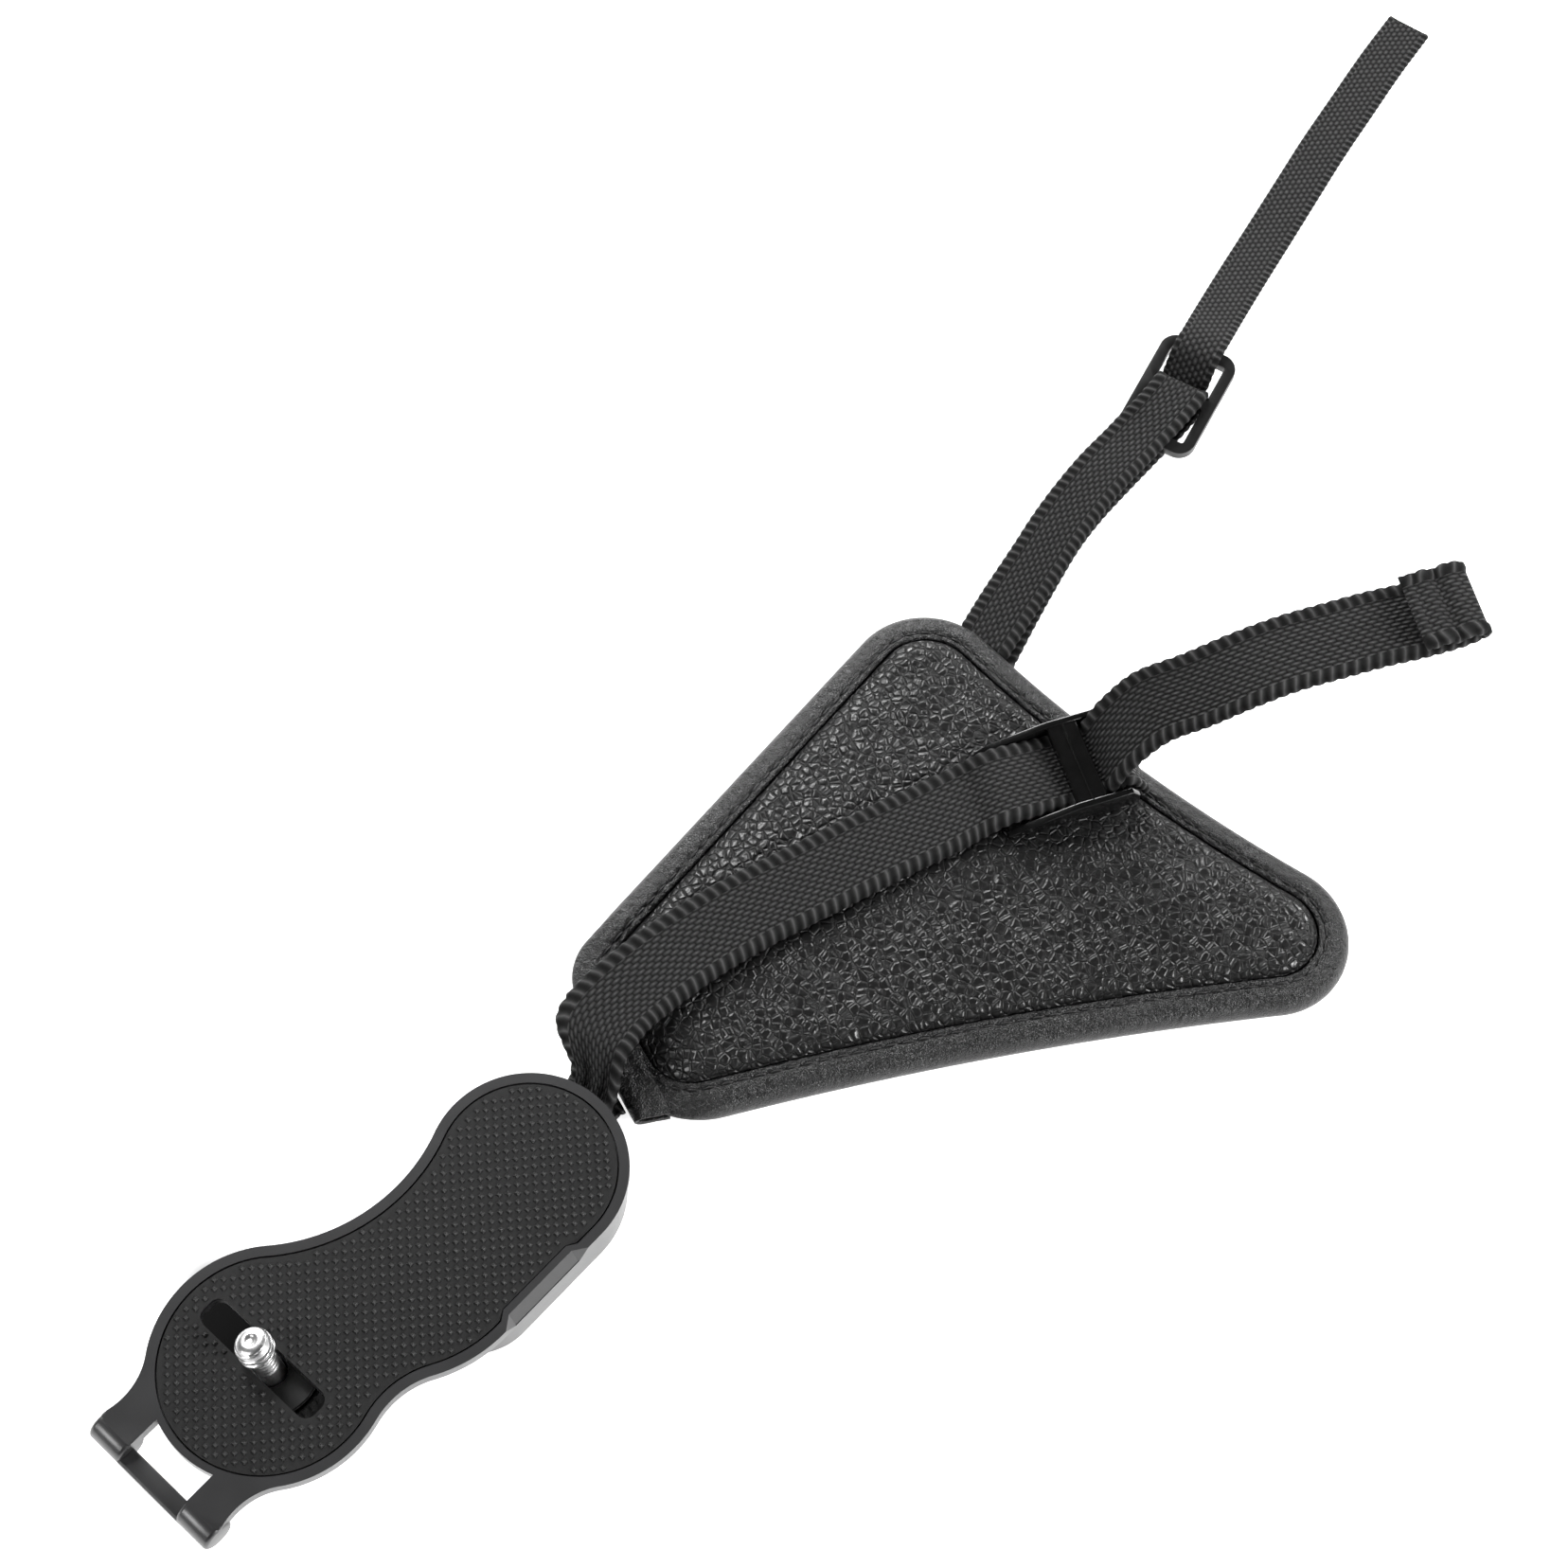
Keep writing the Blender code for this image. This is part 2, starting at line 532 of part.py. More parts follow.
def make_wheel(parts, cutters, look):
    """Thumb wheel with a toothed rim, a well for the shank and a coin slot below."""
    points = []
    for tooth in range(WHEEL_TEETH):
        for share, radius in ((0.0, WHEEL_D / 2 - TOOTH_DEPTH), (0.3, WHEEL_D / 2), (0.7, WHEEL_D / 2)):
            angle = math.tau * (tooth + share) / WHEEL_TEETH
            points.append((radius * math.cos(angle), radius * math.sin(angle)))
    high = -WASHER_DROP - WASHER_T - SEAT_GAP
    low = high - WHEEL_T
    wheel = prism("thumb_wheel", points, low, high, parts)
    shank = NECK_D / 2 + SEAT_GAP
    bm = bmesh.new()
    bmesh.ops.create_cone(bm, cap_ends=True, segments=28, radius1=shank, radius2=shank, depth=2 * WHEEL_T)
    bmesh.ops.translate(bm, verts=bm.verts, vec=(0.0, 0.0, low + 0.6 * MM + WHEEL_T))
    well = add_object("shank_well", mesh_from(bm, "shank_well"), cutters)
    length, width, depth = COIN_SLOT
    coin = box("coin_slot", (-length / 2, -width / 2, low - MM), (length / 2, width / 2, low + depth - 0.6 * MM), cutters)
    for cutter in (well, coin):
        cutter.matrix_world = screw_frame()
        boolean(wheel, cutter, "DIFFERENCE")
    wheel.matrix_world = screw_frame()
    wheel.data.materials.append(look)
    return wheel


def make_socket(parts, look):
    """Metal tripod socket pressed into the boss, open downwards."""
    bore = SOCKET_BORE_D / 2
    wall = bore + SOCKET_WALL
    low = TABLE + 0.2 * MM
    top = TABLE + SOCKET_DEPTH - SEAT_GAP
    profile = [(0.0, top), (wall - 0.3 * MM, top), (wall, top - 0.3 * MM), (wall, low), (bore + 0.4 * MM, low),
               (bore, low + 0.4 * MM), (bore, top - SOCKET_FLANGE), (0.0, top - SOCKET_FLANGE)]
    socket = turned("tripod_socket", profile, parts, 36)
    socket.matrix_world = Matrix.Translation((SOCKET_X, SMALL[1], 0.0))
    socket.data.materials.append(look)
    shade(socket)
    return socket


def smooth_step(t):
    """Ease from zero to one."""
    t = max(0.0, min(1.0, t))
    return t * t * (3.0 - 2.0 * t)


def strip_axes():
    """Unit vectors along the cut corner and from it into the pad."""
    along = Vector((math.cos(STRIP_DIR), math.sin(STRIP_DIR)))
    return along, Vector((along.y, -along.x))


def pinched(x, y, z):
    """Height of a pad point, squeezed towards mid-height beside the cut corner."""
    inward = strip_axes()[1]
    depth = (Vector((x, y)) - Vector(STRIP_START)) @ inward
    keep = PINCH + (1.0 - PINCH) * smooth_step((depth - PINCH_FULL) / (PINCH_END - PINCH_FULL))
    middle = TABLE + PAD_RIM_H / 2
    return middle + (z - middle) * keep if z < middle + PAD_RIM_H else z


def pad_ring(inset, height, share=1.0, corners=None, lift=0.0):
    """One closed ring of pad points at a height; share below one draws it to the pad's middle.

    The lift is added after the pinch, so an inner layer keeps its distance to the skin.
    """
    points = outline(corners or PAD_CORNERS, PAD_SIDES, inset, pieces=10)
    ring = []
    for x, y in points:
        x = PAD_MIDDLE[0] + (x - PAD_MIDDLE[0]) * share
        y = PAD_MIDDLE[1] + (y - PAD_MIDDLE[1]) * share
        ring.append(Vector((x, y, pinched(x, y, height) + lift)))
    return ring


def loft(name, rings, where, close_start=False, close_end=False):
    """Surface through closed rings of equal length, with optional fans to a middle point."""
    bm = bmesh.new()
    rows = [[bm.verts.new(point) for point in ring] for ring in rings]
    count = len(rows[0])
    for lower, upper in zip(rows, rows[1:]):
        for i in range(count):
            j = (i + 1) % count
            bm.faces.new((lower[i], lower[j], upper[j], upper[i]))
    for row, wanted, flip in ((rows[0], close_start, True), (rows[-1], close_end, False)):
        if wanted:
            tip = bm.verts.new(sum((v.co for v in row), Vector()) / count)
            for i in range(count):
                j = (i + 1) % count
                bm.faces.new((row[j], row[i], tip) if flip else (row[i], row[j], tip))
    return add_object(name, mesh_from(bm, name), where)


def thicken(item, thickness, offset):
    """Give an open surface a thickness."""
    modifier = item.modifiers.new("thickness", "SOLIDIFY")
    modifier.thickness = thickness
    modifier.offset = offset
    modifier.use_even_offset = True
    return modifier


def make_pad(parts, looks):
    """Padded grip: foam core, domed face panel, flat back panel and the leather binding."""
    rim_top = TABLE + PAD_RIM_H
    middle = TABLE + PAD_RIM_H * 0.46
    edge = [(BINDING_W, TABLE), (BINDING_W * 0.58, TABLE), (BINDING_W * 0.26, TABLE + 0.5 * MM),
            (BINDING_W * 0.08, TABLE + 1.6 * MM), (0.0, middle), (BINDING_W * 0.07, rim_top - 2.1 * MM),
            (BINDING_W * 0.25, rim_top - 1.0 * MM), (BINDING_W * 0.58, rim_top - 0.3 * MM), (BINDING_W, rim_top)]
    binding = loft("pad_binding", [pad_ring(inset, height) for inset, height in edge], parts)
    thicken(binding, LEATHER_T, -1.0)

    crown = TABLE + PAD_CROWN
    start = BINDING_W + SEAT_GAP
    rise = crown - rim_top
    face_rings = [pad_ring(start, rim_top + 0.04 * rise), pad_ring(start + 1.6 * MM, rim_top + 0.27 * rise),
                  pad_ring(start + 3.6 * MM, rim_top + 0.5 * rise)]
    for share, level in ((0.84, 0.7), (0.66, 0.86), (0.44, 0.95), (0.2, 0.99)):
        face_rings.append(pad_ring(start + 3.6 * MM, rim_top + level * rise, share))
    face = loft("pad_face", face_rings, parts, close_end=True)
    thicken(face, LEATHER_T, -1.0)

    back_rings = [pad_ring(start + 0.2 * MM, TABLE)]
    back_rings += [pad_ring(start + 3.6 * MM, TABLE, share) for share in (1.0, 0.9, 0.6, 0.25)]
    back = loft("pad_back", [ring for ring in reversed(back_rings)], parts, close_start=True)
    thicken(back, LEATHER_T, -1.0)

    shell = LEATHER_T + SEAT_GAP + 0.15 * MM
    foam = [(x + (FOAM_BACK if i in (0, 3) else 0.0), y, r - (3.0 * MM if i in (0, 3) else 0.0))
            for i, (x, y, r) in enumerate(PAD_CORNERS)]
    side = shell + 0.8 * MM
    core_rings = [pad_ring(start + 3.6 * MM, TABLE, share, foam, shell) for share in (0.4, 0.85, 1.0)]
    core_rings += [pad_ring(start, TABLE, 1.0, foam, shell),
                  pad_ring(side + 1.2 * MM, TABLE + 0.6 * MM, 1.0, foam, shell), pad_ring(side, middle, 1.0, foam),
                  pad_ring(side + 1.6 * MM, rim_top - 0.9 * MM, 1.0, foam, -shell),
                  pad_ring(start, rim_top - 0.2 * MM, 1.0, foam, -shell)]
    for share, level in ((0.97, 0.36), (0.84, 0.62), (0.66, 0.8), (0.44, 0.9), (0.2, 0.95)):
        core_rings.append(pad_ring(start + 3.6 * MM, rim_top + level * rise, share, foam, -shell))
    core = loft("pad_core", core_rings, parts, close_start=True, close_end=True)

    for item, key in ((binding, "binding"), (face, "leather"), (back, "leather"), (core, "foam")):
        item.data.materials.append(looks[key])
        shade(item, 60.0)


def make_strip(parts, look):
    """Leather strip folded over the cut corner of the pad, its ends cut flush."""
    along, inward = strip_axes()
    bend = STRIP_H / 2 - LEATHER_T / 2
    middle = TABLE + PAD_RIM_H / 2
    profile = [(STRIP_W, -bend)]
    for step in range(9):
        angle = -math.pi / 2 - math.pi * step / 8
        profile.append((LEATHER_T / 2 + bend * (1.0 + math.cos(angle)) * 0.7, bend * math.sin(angle)))
    profile.append((STRIP_W, bend))
    bm = bmesh.new()
    rows = []
    for depth, height in profile:
        row = []
        for share in (0.0, 0.5, 1.0):
            run = share * STRIP_L - depth * STRIP_SKEW
            spot = Vector(STRIP_START) + along * run + inward * depth
            row.append(bm.verts.new((spot.x, spot.y, middle + height)))
        rows.append(row)
    for first, second in zip(rows, rows[1:]):
        for i in range(len(first) - 1):
            bm.faces.new((first[i], first[i + 1], second[i + 1], second[i]))
    strip = add_object("corner_strip", mesh_from(bm, "corner_strip"), parts)
    thicken(strip, LEATHER_T, 0.0)
    strip.data.materials.append(look)
    shade(strip, 50.0)
    return strip


def smooth_route(stops, spacing):
    """Centripetal curve through (x, y, z, across angle) stops, sampled about every spacing."""
    stops = [Vector(stop) for stop in stops]
    ends = [stops[0] * 2 - stops[1]] + stops + [stops[-1] * 2 - stops[-2]]
    route = [stops[0]]
    for a, b, c, d in zip(ends, ends[1:], ends[2:], ends[3:]):
        k1 = max(1e-5, (b - a).xyz.length ** 0.5)
        k2 = max(1e-5, (c - b).xyz.length ** 0.5)
        k3 = max(1e-5, (d - c).xyz.length ** 0.5)
        count = max(1, round((c - b).xyz.length / spacing))
        leave = (c - b) / k2 - (c - a) / (k1 + k2) + (b - a) / k1
        reach = (d - c) / k3 - (d - b) / (k2 + k3) + (c - b) / k2
        for step in range(1, count + 1):
            t = step / count
            h1 = 2 * t ** 3 - 3 * t ** 2 + 1
            h2 = t ** 3 - 2 * t ** 2 + t
            h3 = -2 * t ** 3 + 3 * t ** 2
            h4 = t ** 3 - t ** 2
            route.append(b * h1 + leave * (h2 * k2) + c * h3 + reach * (h4 * k2))
    return route


def placed(stops, base):
    """Stops in metres and radians from the lists above, lying on a base height."""
    for x, y, rise, turn in stops:
        yield (JOINT_X + x * MM, y * MM, base + rise * MM, math.radians(turn))


def gathered(x):
    """Width of the grip strap: gathered in the window, spread out on the pad."""
    return GATHER_W + (GRIP_W - GATHER_W) * smooth_step((x - LOBE_END - GATHER_LEAD) / GATHER_RUN)


def webbing(name, route, width_at, thickness, parts, look, columns=2):
    """Flat webbing along a route; each stop's fourth value is the angle of its width in plan."""
    bm = bmesh.new()
    bmesh.ops.create_grid(bm, x_segments=len(route) - 1, y_segments=columns, size=0.5)
    ordered = sorted(bm.verts, key=lambda v: (round(v.co.x, 5), round(v.co.y, 5)))
    for index, vertex in enumerate(ordered):
        stop = route[index // (columns + 1)]
        share = (index % (columns + 1)) / columns - 0.5
        across = Vector((math.cos(stop[3]), math.sin(stop[3]), 0.0))
        vertex.co = Vector(stop[:3]) + across * (share * width_at(stop[0]))
    strap = add_object(name, mesh_from(bm, name), parts)
    thicken(strap, thickness, 0.0)
    strap.data.materials.append(look)
    shade(strap, 50.0)
    return strap


def turn_points(centre, radius, start, end, count):
    """Points (u, w) on a fold round a bar, between two angles in degrees."""
    points = []
    for step in range(count + 1):
        angle = math.radians(start + (end - start) * step / count)
        points.append((centre[0] + radius * math.cos(angle), centre[1] + radius * math.sin(angle)))
    return points


def lock_point(u, v, w):
    """World point from the ladder lock's own length, side and height."""
    ahead = Vector((math.cos(LOCK_DIR), math.sin(LOCK_DIR), 0.0))
    aside = Vector((-ahead.y, ahead.x, 0.0))
    return Vector((LOCK_AT[0], LOCK_AT[1], LOCK_BASE)) + ahead * u + aside * v + Vector((0, 0, w))


def slider_frame():
    """Placement of the slider: X along the strap, Z out of its face."""
    turn = Matrix.Rotation(SLIDER_DIR, 4, "Z") @ Matrix.Rotation(-SLIDER_PITCH, 4, "Y")
    return Matrix.Translation(SLIDER_AT) @ turn


def make_lock(parts, cutters, look):
    """Ladder lock: two tapering side walls joined by a low bar, a locking bar and a tab pin."""
    half = GRIP_W / 2 + LOCK_SIDE
    profile = [(0.0, 0.0), (LOCK_L, 0.0), (LOCK_L, LOCK_H * 0.55), (LOCK_L - 1.6 * MM, LOCK_H),
               (LOCK_RAMP_END, LOCK_H), (2.6 * MM, LOCK_H * 0.42), (0.0, LOCK_H * 0.3)]
    where = Matrix.Translation(lock_point(0, 0, 0)) @ Matrix.Rotation(LOCK_DIR, 4, "Z")
    upright = Matrix.Rotation(math.pi / 2, 4, "X")
    walls = []
    for name, side in (("ladder_lock", -half - LOCK_WALL), ("far_wall", half)):
        wall = prism(name, profile, 0.0, LOCK_WALL, parts if name == "ladder_lock" else cutters)
        wall.data.transform(Matrix.Translation((0, side + LOCK_WALL, 0)) @ upright)
        bevel(wall, 0.3 * MM, 2)
        walls.append(wall)
    lock = walls[0]
    boolean(lock, walls[1], "UNION")
    reach = half + LOCK_WALL / 2
    lower = box("low_bar", (LOCK_LOW_BAR[0], -reach, 0.1 * MM), (LOCK_LOW_BAR[1], reach, LOCK_LOW_BAR_H), cutters)
    upper = box("lock_bar", (LOCK_BAR[0], -reach, LOCK_BAR_Z[0]), (LOCK_BAR[1], reach, LOCK_BAR_Z[1]), cutters)
    for bar in (lower, upper):
        bevel(bar, 0.35 * MM, 2)
        boolean(lock, bar, "UNION")
    pin = rod("tab_pin", LOCK_PIN_R, (LOCK_PIN_U, -reach, LOCK_PIN_W), (LOCK_PIN_U, reach, LOCK_PIN_W), cutters, 20)
    boolean(lock, pin, "UNION")
    for item in (*walls, lower, upper, pin):
        item.matrix_world = where
    lock.data.materials.append(look)
    shade(lock)
    return lock


def make_tab(parts, look):
    """Webbing tab looped round the pin of the ladder lock, both ends on the pad's edge."""
    radius = LOCK_PIN_R + SEAT_GAP + TAB_T / 2
    centre = (LOCK_PIN_U, LOCK_PIN_W)
    pad_top = TABLE + PAD_RIM_H - LOCK_BASE
    flat = [(LOCK_PIN_U + 3.1 * MM, pad_top + 1.0 * MM), (LOCK_PIN_U + 1.4 * MM, LOCK_PIN_W - radius - 1.1 * MM)]
    flat += turn_points(centre, radius, -75.0, -330.0, 14)
    flat += [(LOCK_PIN_U + 3.3 * MM, LOCK_PIN_W - 1.9 * MM), (LOCK_PIN_U + 4.6 * MM, pad_top + 0.6 * MM)]
    across = LOCK_DIR + math.pi / 2
    stops = [(*lock_point(u, 0, w), across) for u, w in flat]
    return webbing("buckle_tab", smooth_route(stops, 1.0 * MM), lambda x: TAB_W, TAB_T, parts, look)


def make_grip_strap(parts, look):
    """Grip strap: from the corner strip, round the plate's bar, over the pad, through the lock."""
    along, inward = strip_axes()
    start = Vector(STRIP_START) + along * STRAP_SEAM - inward * (SEAT_GAP + 0.15 * MM)
    mid = TABLE + PAD_RIM_H / 2
    square = math.pi / 2
    stops = [(start.x, start.y, mid, STRIP_DIR),
             (start.x - 2.4 * MM, WINDOW_Y, (mid + WINDOW_Z - LOOP_R) / 2, math.radians(80.0)),
             (LOBE_END - 0.2 * MM, WINDOW_Y, WINDOW_Z - LOOP_R, square)]
    for u, w in turn_points((WINDOW_BAR_X, WINDOW_Z), LOOP_R, -90.0, -270.0, 12):
        stops.append((u, WINDOW_Y, w, square))
    stops.append((LOBE_END - 2.6 * MM, WINDOW_Y, WINDOW_Z + LOOP_R, square))
    stops.append((LOBE_END + 0.3 * MM, WINDOW_Y + 0.2 * MM, WINDOW_Z + LOOP_R + 0.15 * MM, math.radians(92.0)))
    stops.extend(placed(OVER_PAD, LOCK_BASE + GRIP_T / 2))
    for u, v, w in LOCK_THREAD:
        stops.append((*lock_point(u * MM, v * MM, w * MM), LOCK_DIR + square))
    stops.extend(placed(FREE_END, LOCK_BASE))
    # The end is folded back on top of itself and stitched as a stop.
    fold = (GRIP_T + STOP_GAP) / 2 + 0.15 * MM
    last, before = Vector(stops[-1][:3]), Vector(stops[-3][:3])
    turn = stops[-1][3]
    ahead = (last - before).normalized()
    lift = Vector((-ahead.z * ahead.x, -ahead.z * ahead.y, ahead.x ** 2 + ahead.y ** 2)).normalized()
    for angle in (30, 60, 90, 120, 150, 180):
        a = math.radians(angle)
        spot = last + ahead * (fold * math.sin(a)) + lift * (fold * (1 - math.cos(a)))
        stops.append((*spot, turn))
    for share, rise in ((0.4, 0.3), (0.72, 1.0), (0.9, 0.7), (1.0, 0.0)):
        spot = last - ahead * (share * STOP_FLAP) + lift * (2 * fold + rise * STOP_RISE)
        stops.append((*spot, turn))
    return webbing("grip_strap", smooth_route(stops, 2.3 * MM), gathered, GRIP_T, parts, look)


def make_lug_strap(parts, look):
    """Doubled lug strap: from the pad's corner round the slider's middle bar and back."""
    frame = slider_frame()
    across = SLIDER_DIR + math.pi / 2
    radius = SLIDER_BAR * 0.71 + SEAT_GAP + LUG_T / 2
    rail = SLIDER_T / 2 + SEAT_GAP + LUG_T / 2 + 0.1 * MM
    near = SLIDER_L / 2
    stops = list(placed(LUG_UPPER, TABLE))
    for u, v, w, turn in ((-near - 3.3 * MM, 3.4 * MM, rail + 0.2 * MM, -0.19), (-near + 1.2 * MM, 2.4 * MM, rail + 0.1 * MM, -0.14),
                          (-near / 2, 1.1 * MM, radius, -0.06)):
        stops.append((*(frame @ Vector((u, v, w))), across + turn))
    for u, w in turn_points((0.0, 0.0), radius, 90.0, -90.0, 10):
        stops.append((*(frame @ Vector((u, 0, w))), across))
    for u, v, turn in ((-near / 2, 1.1 * MM, -0.06), (-near + 1.2 * MM, 2.4 * MM, -0.14)):
        stops.append((*(frame @ Vector((u, v, -rail))), across + turn))
    floor = TABLE + LUG_T / 2 + 0.1 * MM
    stops.extend(placed([(x, y, 0.0, turn) for x, y, turn in LUG_LOWER], floor))
    return webbing("lug_strap", smooth_route(stops, 2.4 * MM), lambda x: LUG_W, LUG_T, parts, look)


def make_tail(parts, look):
    """Thin tail threaded up through the slider and over its far bar."""
    frame = slider_frame()
    across = SLIDER_DIR + math.pi / 2
    under = -(SLIDER_BAR * 0.71 + 2 * SEAT_GAP + LUG_T + TAIL_T / 2)
    over = SLIDER_T / 2 + SEAT_GAP + TAIL_T / 2 + 0.25 * MM
    far = SLIDER_L / 2
    thread = [(-1.0 * MM, under), (2.0 * MM, under + 0.1 * MM), (far * 0.42, under + 1.3 * MM),
              (far * 0.57, -0.3 * MM), (far * 0.72, over - 0.4 * MM), (far - SLIDER_RAIL / 2, over + 0.15 * MM),
              (far + 1.6 * MM, over - 0.3 * MM)]
    stops = [(*(frame @ Vector((u, 0.6 * MM, w))), across) for u, w in thread]
    stops.extend(placed(TAIL_RUN, TABLE + TAIL_T / 2 + 0.1 * MM))
    return webbing("lug_tail", smooth_route(stops, 2.4 * MM), lambda x: TAIL_W, TAIL_T, parts, look)


def make_slider(parts, cutters, look):
    """Three-bar slider: rounded frame with two windows and a middle bar."""
    half_w = LUG_W / 2 + SLIDER_PLAY + SLIDER_RAIL
    half_l = SLIDER_L / 2
    r = SLIDER_CORNER_R
    corners = [(half_l - r, -half_w + r, r), (half_l - r, half_w - r, r),
               (-half_l + r, half_w - r, r), (-half_l + r, -half_w + r, r)]
    slider = prism("slider", outline(corners, [0.0] * 4), -SLIDER_T / 2, SLIDER_T / 2, parts)
    bevel(slider, 0.6 * MM, 2)
    room = half_w - SLIDER_RAIL
    for name, side in (("near_window", -1), ("far_window", 1)):
        ends = sorted((side * SLIDER_BAR / 2, side * (half_l - SLIDER_RAIL - 0.3 * MM)))
        q = SLIDER_PLAY
        hole = [(ends[1] - q, -room + q, q), (ends[1] - q, room - q, q), (ends[0] + q, room - q, q), (ends[0] + q, -room + q, q)]
        window = prism(name, outline(hole, [0.0] * 4), -SLIDER_T, SLIDER_T, cutters)
        window.matrix_world = slider_frame()
        boolean(slider, window, "DIFFERENCE")
    slider.matrix_world = slider_frame()
    slider.data.materials.append(look)
    shade(slider)
    return slider


def main():
    """Build the whole strap."""
    clear_scene()
    parts = collection("camera_hand_grip_strap")
    cutters = collection("cutters")
    looks = {
        "plate": material("plate", (0.035, 0.035, 0.037), 0.5),
        "rubber": material("rubber", (0.028, 0.028, 0.028), 0.8),
        "steel": material("steel", (0.72, 0.72, 0.74), 0.22, 1.0),
        "wheel": material("wheel", (0.03, 0.03, 0.032), 0.55),
        "leather": material("leather", (0.018, 0.018, 0.018), 0.38),
        "binding": material("binding", (0.022, 0.022, 0.022), 0.45),
        "foam": material("foam", (0.05, 0.05, 0.05), 0.9),
        "webbing": material("webbing", (0.014, 0.014, 0.014), 0.7),
        "gloss": material("gloss", (0.008, 0.008, 0.008), 0.15),
        "slider": material("slider_plastic", (0.02, 0.02, 0.02), 0.35),
    }
    make_plate(parts, cutters, looks["plate"])
    make_rubber(parts, cutters, looks["rubber"])
    make_screw(parts, looks["steel"])
    make_washer(parts, looks["wheel"])
    make_wheel(parts, cutters, looks["wheel"])
    make_socket(parts, looks["steel"])
    make_pad(parts, looks)
    make_strip(parts, looks["binding"])
    make_grip_strap(parts, looks["webbing"])
    make_lock(parts, cutters, looks["gloss"])
    make_tab(parts, looks["webbing"])
    make_lug_strap(parts, looks["webbing"])
    make_tail(parts, looks["webbing"])
    make_slider(parts, cutters, looks["slider"])
    for item in cutters.objects:
        item.hide_render = True
        item.display_type = "WIRE"


main()
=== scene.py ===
"""Visual model of a camera hand grip strap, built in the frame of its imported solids.

Units are metres. The origin lies on the rubber seat of the base plate, +X runs from the
strap bar to the pad, +Z points towards the camera that stands on the seat.
"""
import logging
import math
from dataclasses import dataclass, field
from enum import Enum

import bmesh
import bpy
from mathutils import Matrix, Vector, noise


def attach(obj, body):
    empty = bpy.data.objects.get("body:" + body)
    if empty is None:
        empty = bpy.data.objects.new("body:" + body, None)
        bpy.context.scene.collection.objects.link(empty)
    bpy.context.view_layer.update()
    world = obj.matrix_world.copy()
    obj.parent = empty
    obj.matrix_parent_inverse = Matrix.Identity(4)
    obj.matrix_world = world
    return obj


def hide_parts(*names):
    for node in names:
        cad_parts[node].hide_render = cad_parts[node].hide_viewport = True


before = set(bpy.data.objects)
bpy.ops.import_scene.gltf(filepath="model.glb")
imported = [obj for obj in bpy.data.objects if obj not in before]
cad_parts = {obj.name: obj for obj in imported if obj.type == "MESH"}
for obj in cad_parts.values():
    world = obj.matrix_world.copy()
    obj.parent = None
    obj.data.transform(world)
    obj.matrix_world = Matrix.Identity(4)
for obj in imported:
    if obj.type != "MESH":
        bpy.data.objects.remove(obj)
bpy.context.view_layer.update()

MM = 0.001
LOG = logging.getLogger("grip_strap")
Point2 = tuple[float, float]
Triple = tuple[float, float, float]
Stop = tuple[float, float, float, float]
Item = bpy.types.Object
Material = bpy.types.Material
Socket = bpy.types.NodeSocket
Tree = bpy.types.NodeTree


# Helpers for node trees


def fill(tree: Tree, target: Socket, value: object) -> None:
    """Link a socket to an input, or set the input to a plain value.

    Args:
        tree: The node tree.
        target: The input.
        value: A socket or a plain value.
    """
    if isinstance(value, Socket):
        tree.links.new(value, target)
    else:
        target.default_value = value


def add_node(tree: Tree, kind: str, **inputs: object) -> bpy.types.Node:
    """Add a node and link or set its inputs.

    Args:
        tree: The node tree.
        kind: Blender's identifier of the node.
        inputs: Input name, with _ for a space, to a socket or a plain value.

    Returns:
        The new node.
    """
    made = tree.nodes.new(kind)
    for key, value in inputs.items():
        fill(tree, made.inputs[key.replace("_", " ")], value)
    return made


def add_math(tree: Tree, operation: str, *values: object) -> Socket:
    """Add a Math node over sockets or numbers.

    Args:
        tree: The node tree.
        operation: Blender's identifier of the operation.
        values: Sockets or numbers, in the order of the inputs.

    Returns:
        The result's socket.
    """
    made = tree.nodes.new("ShaderNodeMath")
    made.operation = operation
    for target, value in zip(made.inputs, values):
        fill(tree, target, value)
    return made.outputs[0]


def add_range(tree: Tree, value: Socket, span: Point2, result: Point2) -> Socket:
    """Map a span of a value to another span, clamped.

    Args:
        tree: The node tree.
        value: The value's socket.
        span: Lowest and highest value.
        result: What those two become.

    Returns:
        The mapped value's socket.
    """
    made = add_node(tree, "ShaderNodeMapRange", Value=value, From_Min=span[0], From_Max=span[1],
                    To_Min=result[0], To_Max=result[1])
    return made.outputs["Result"]


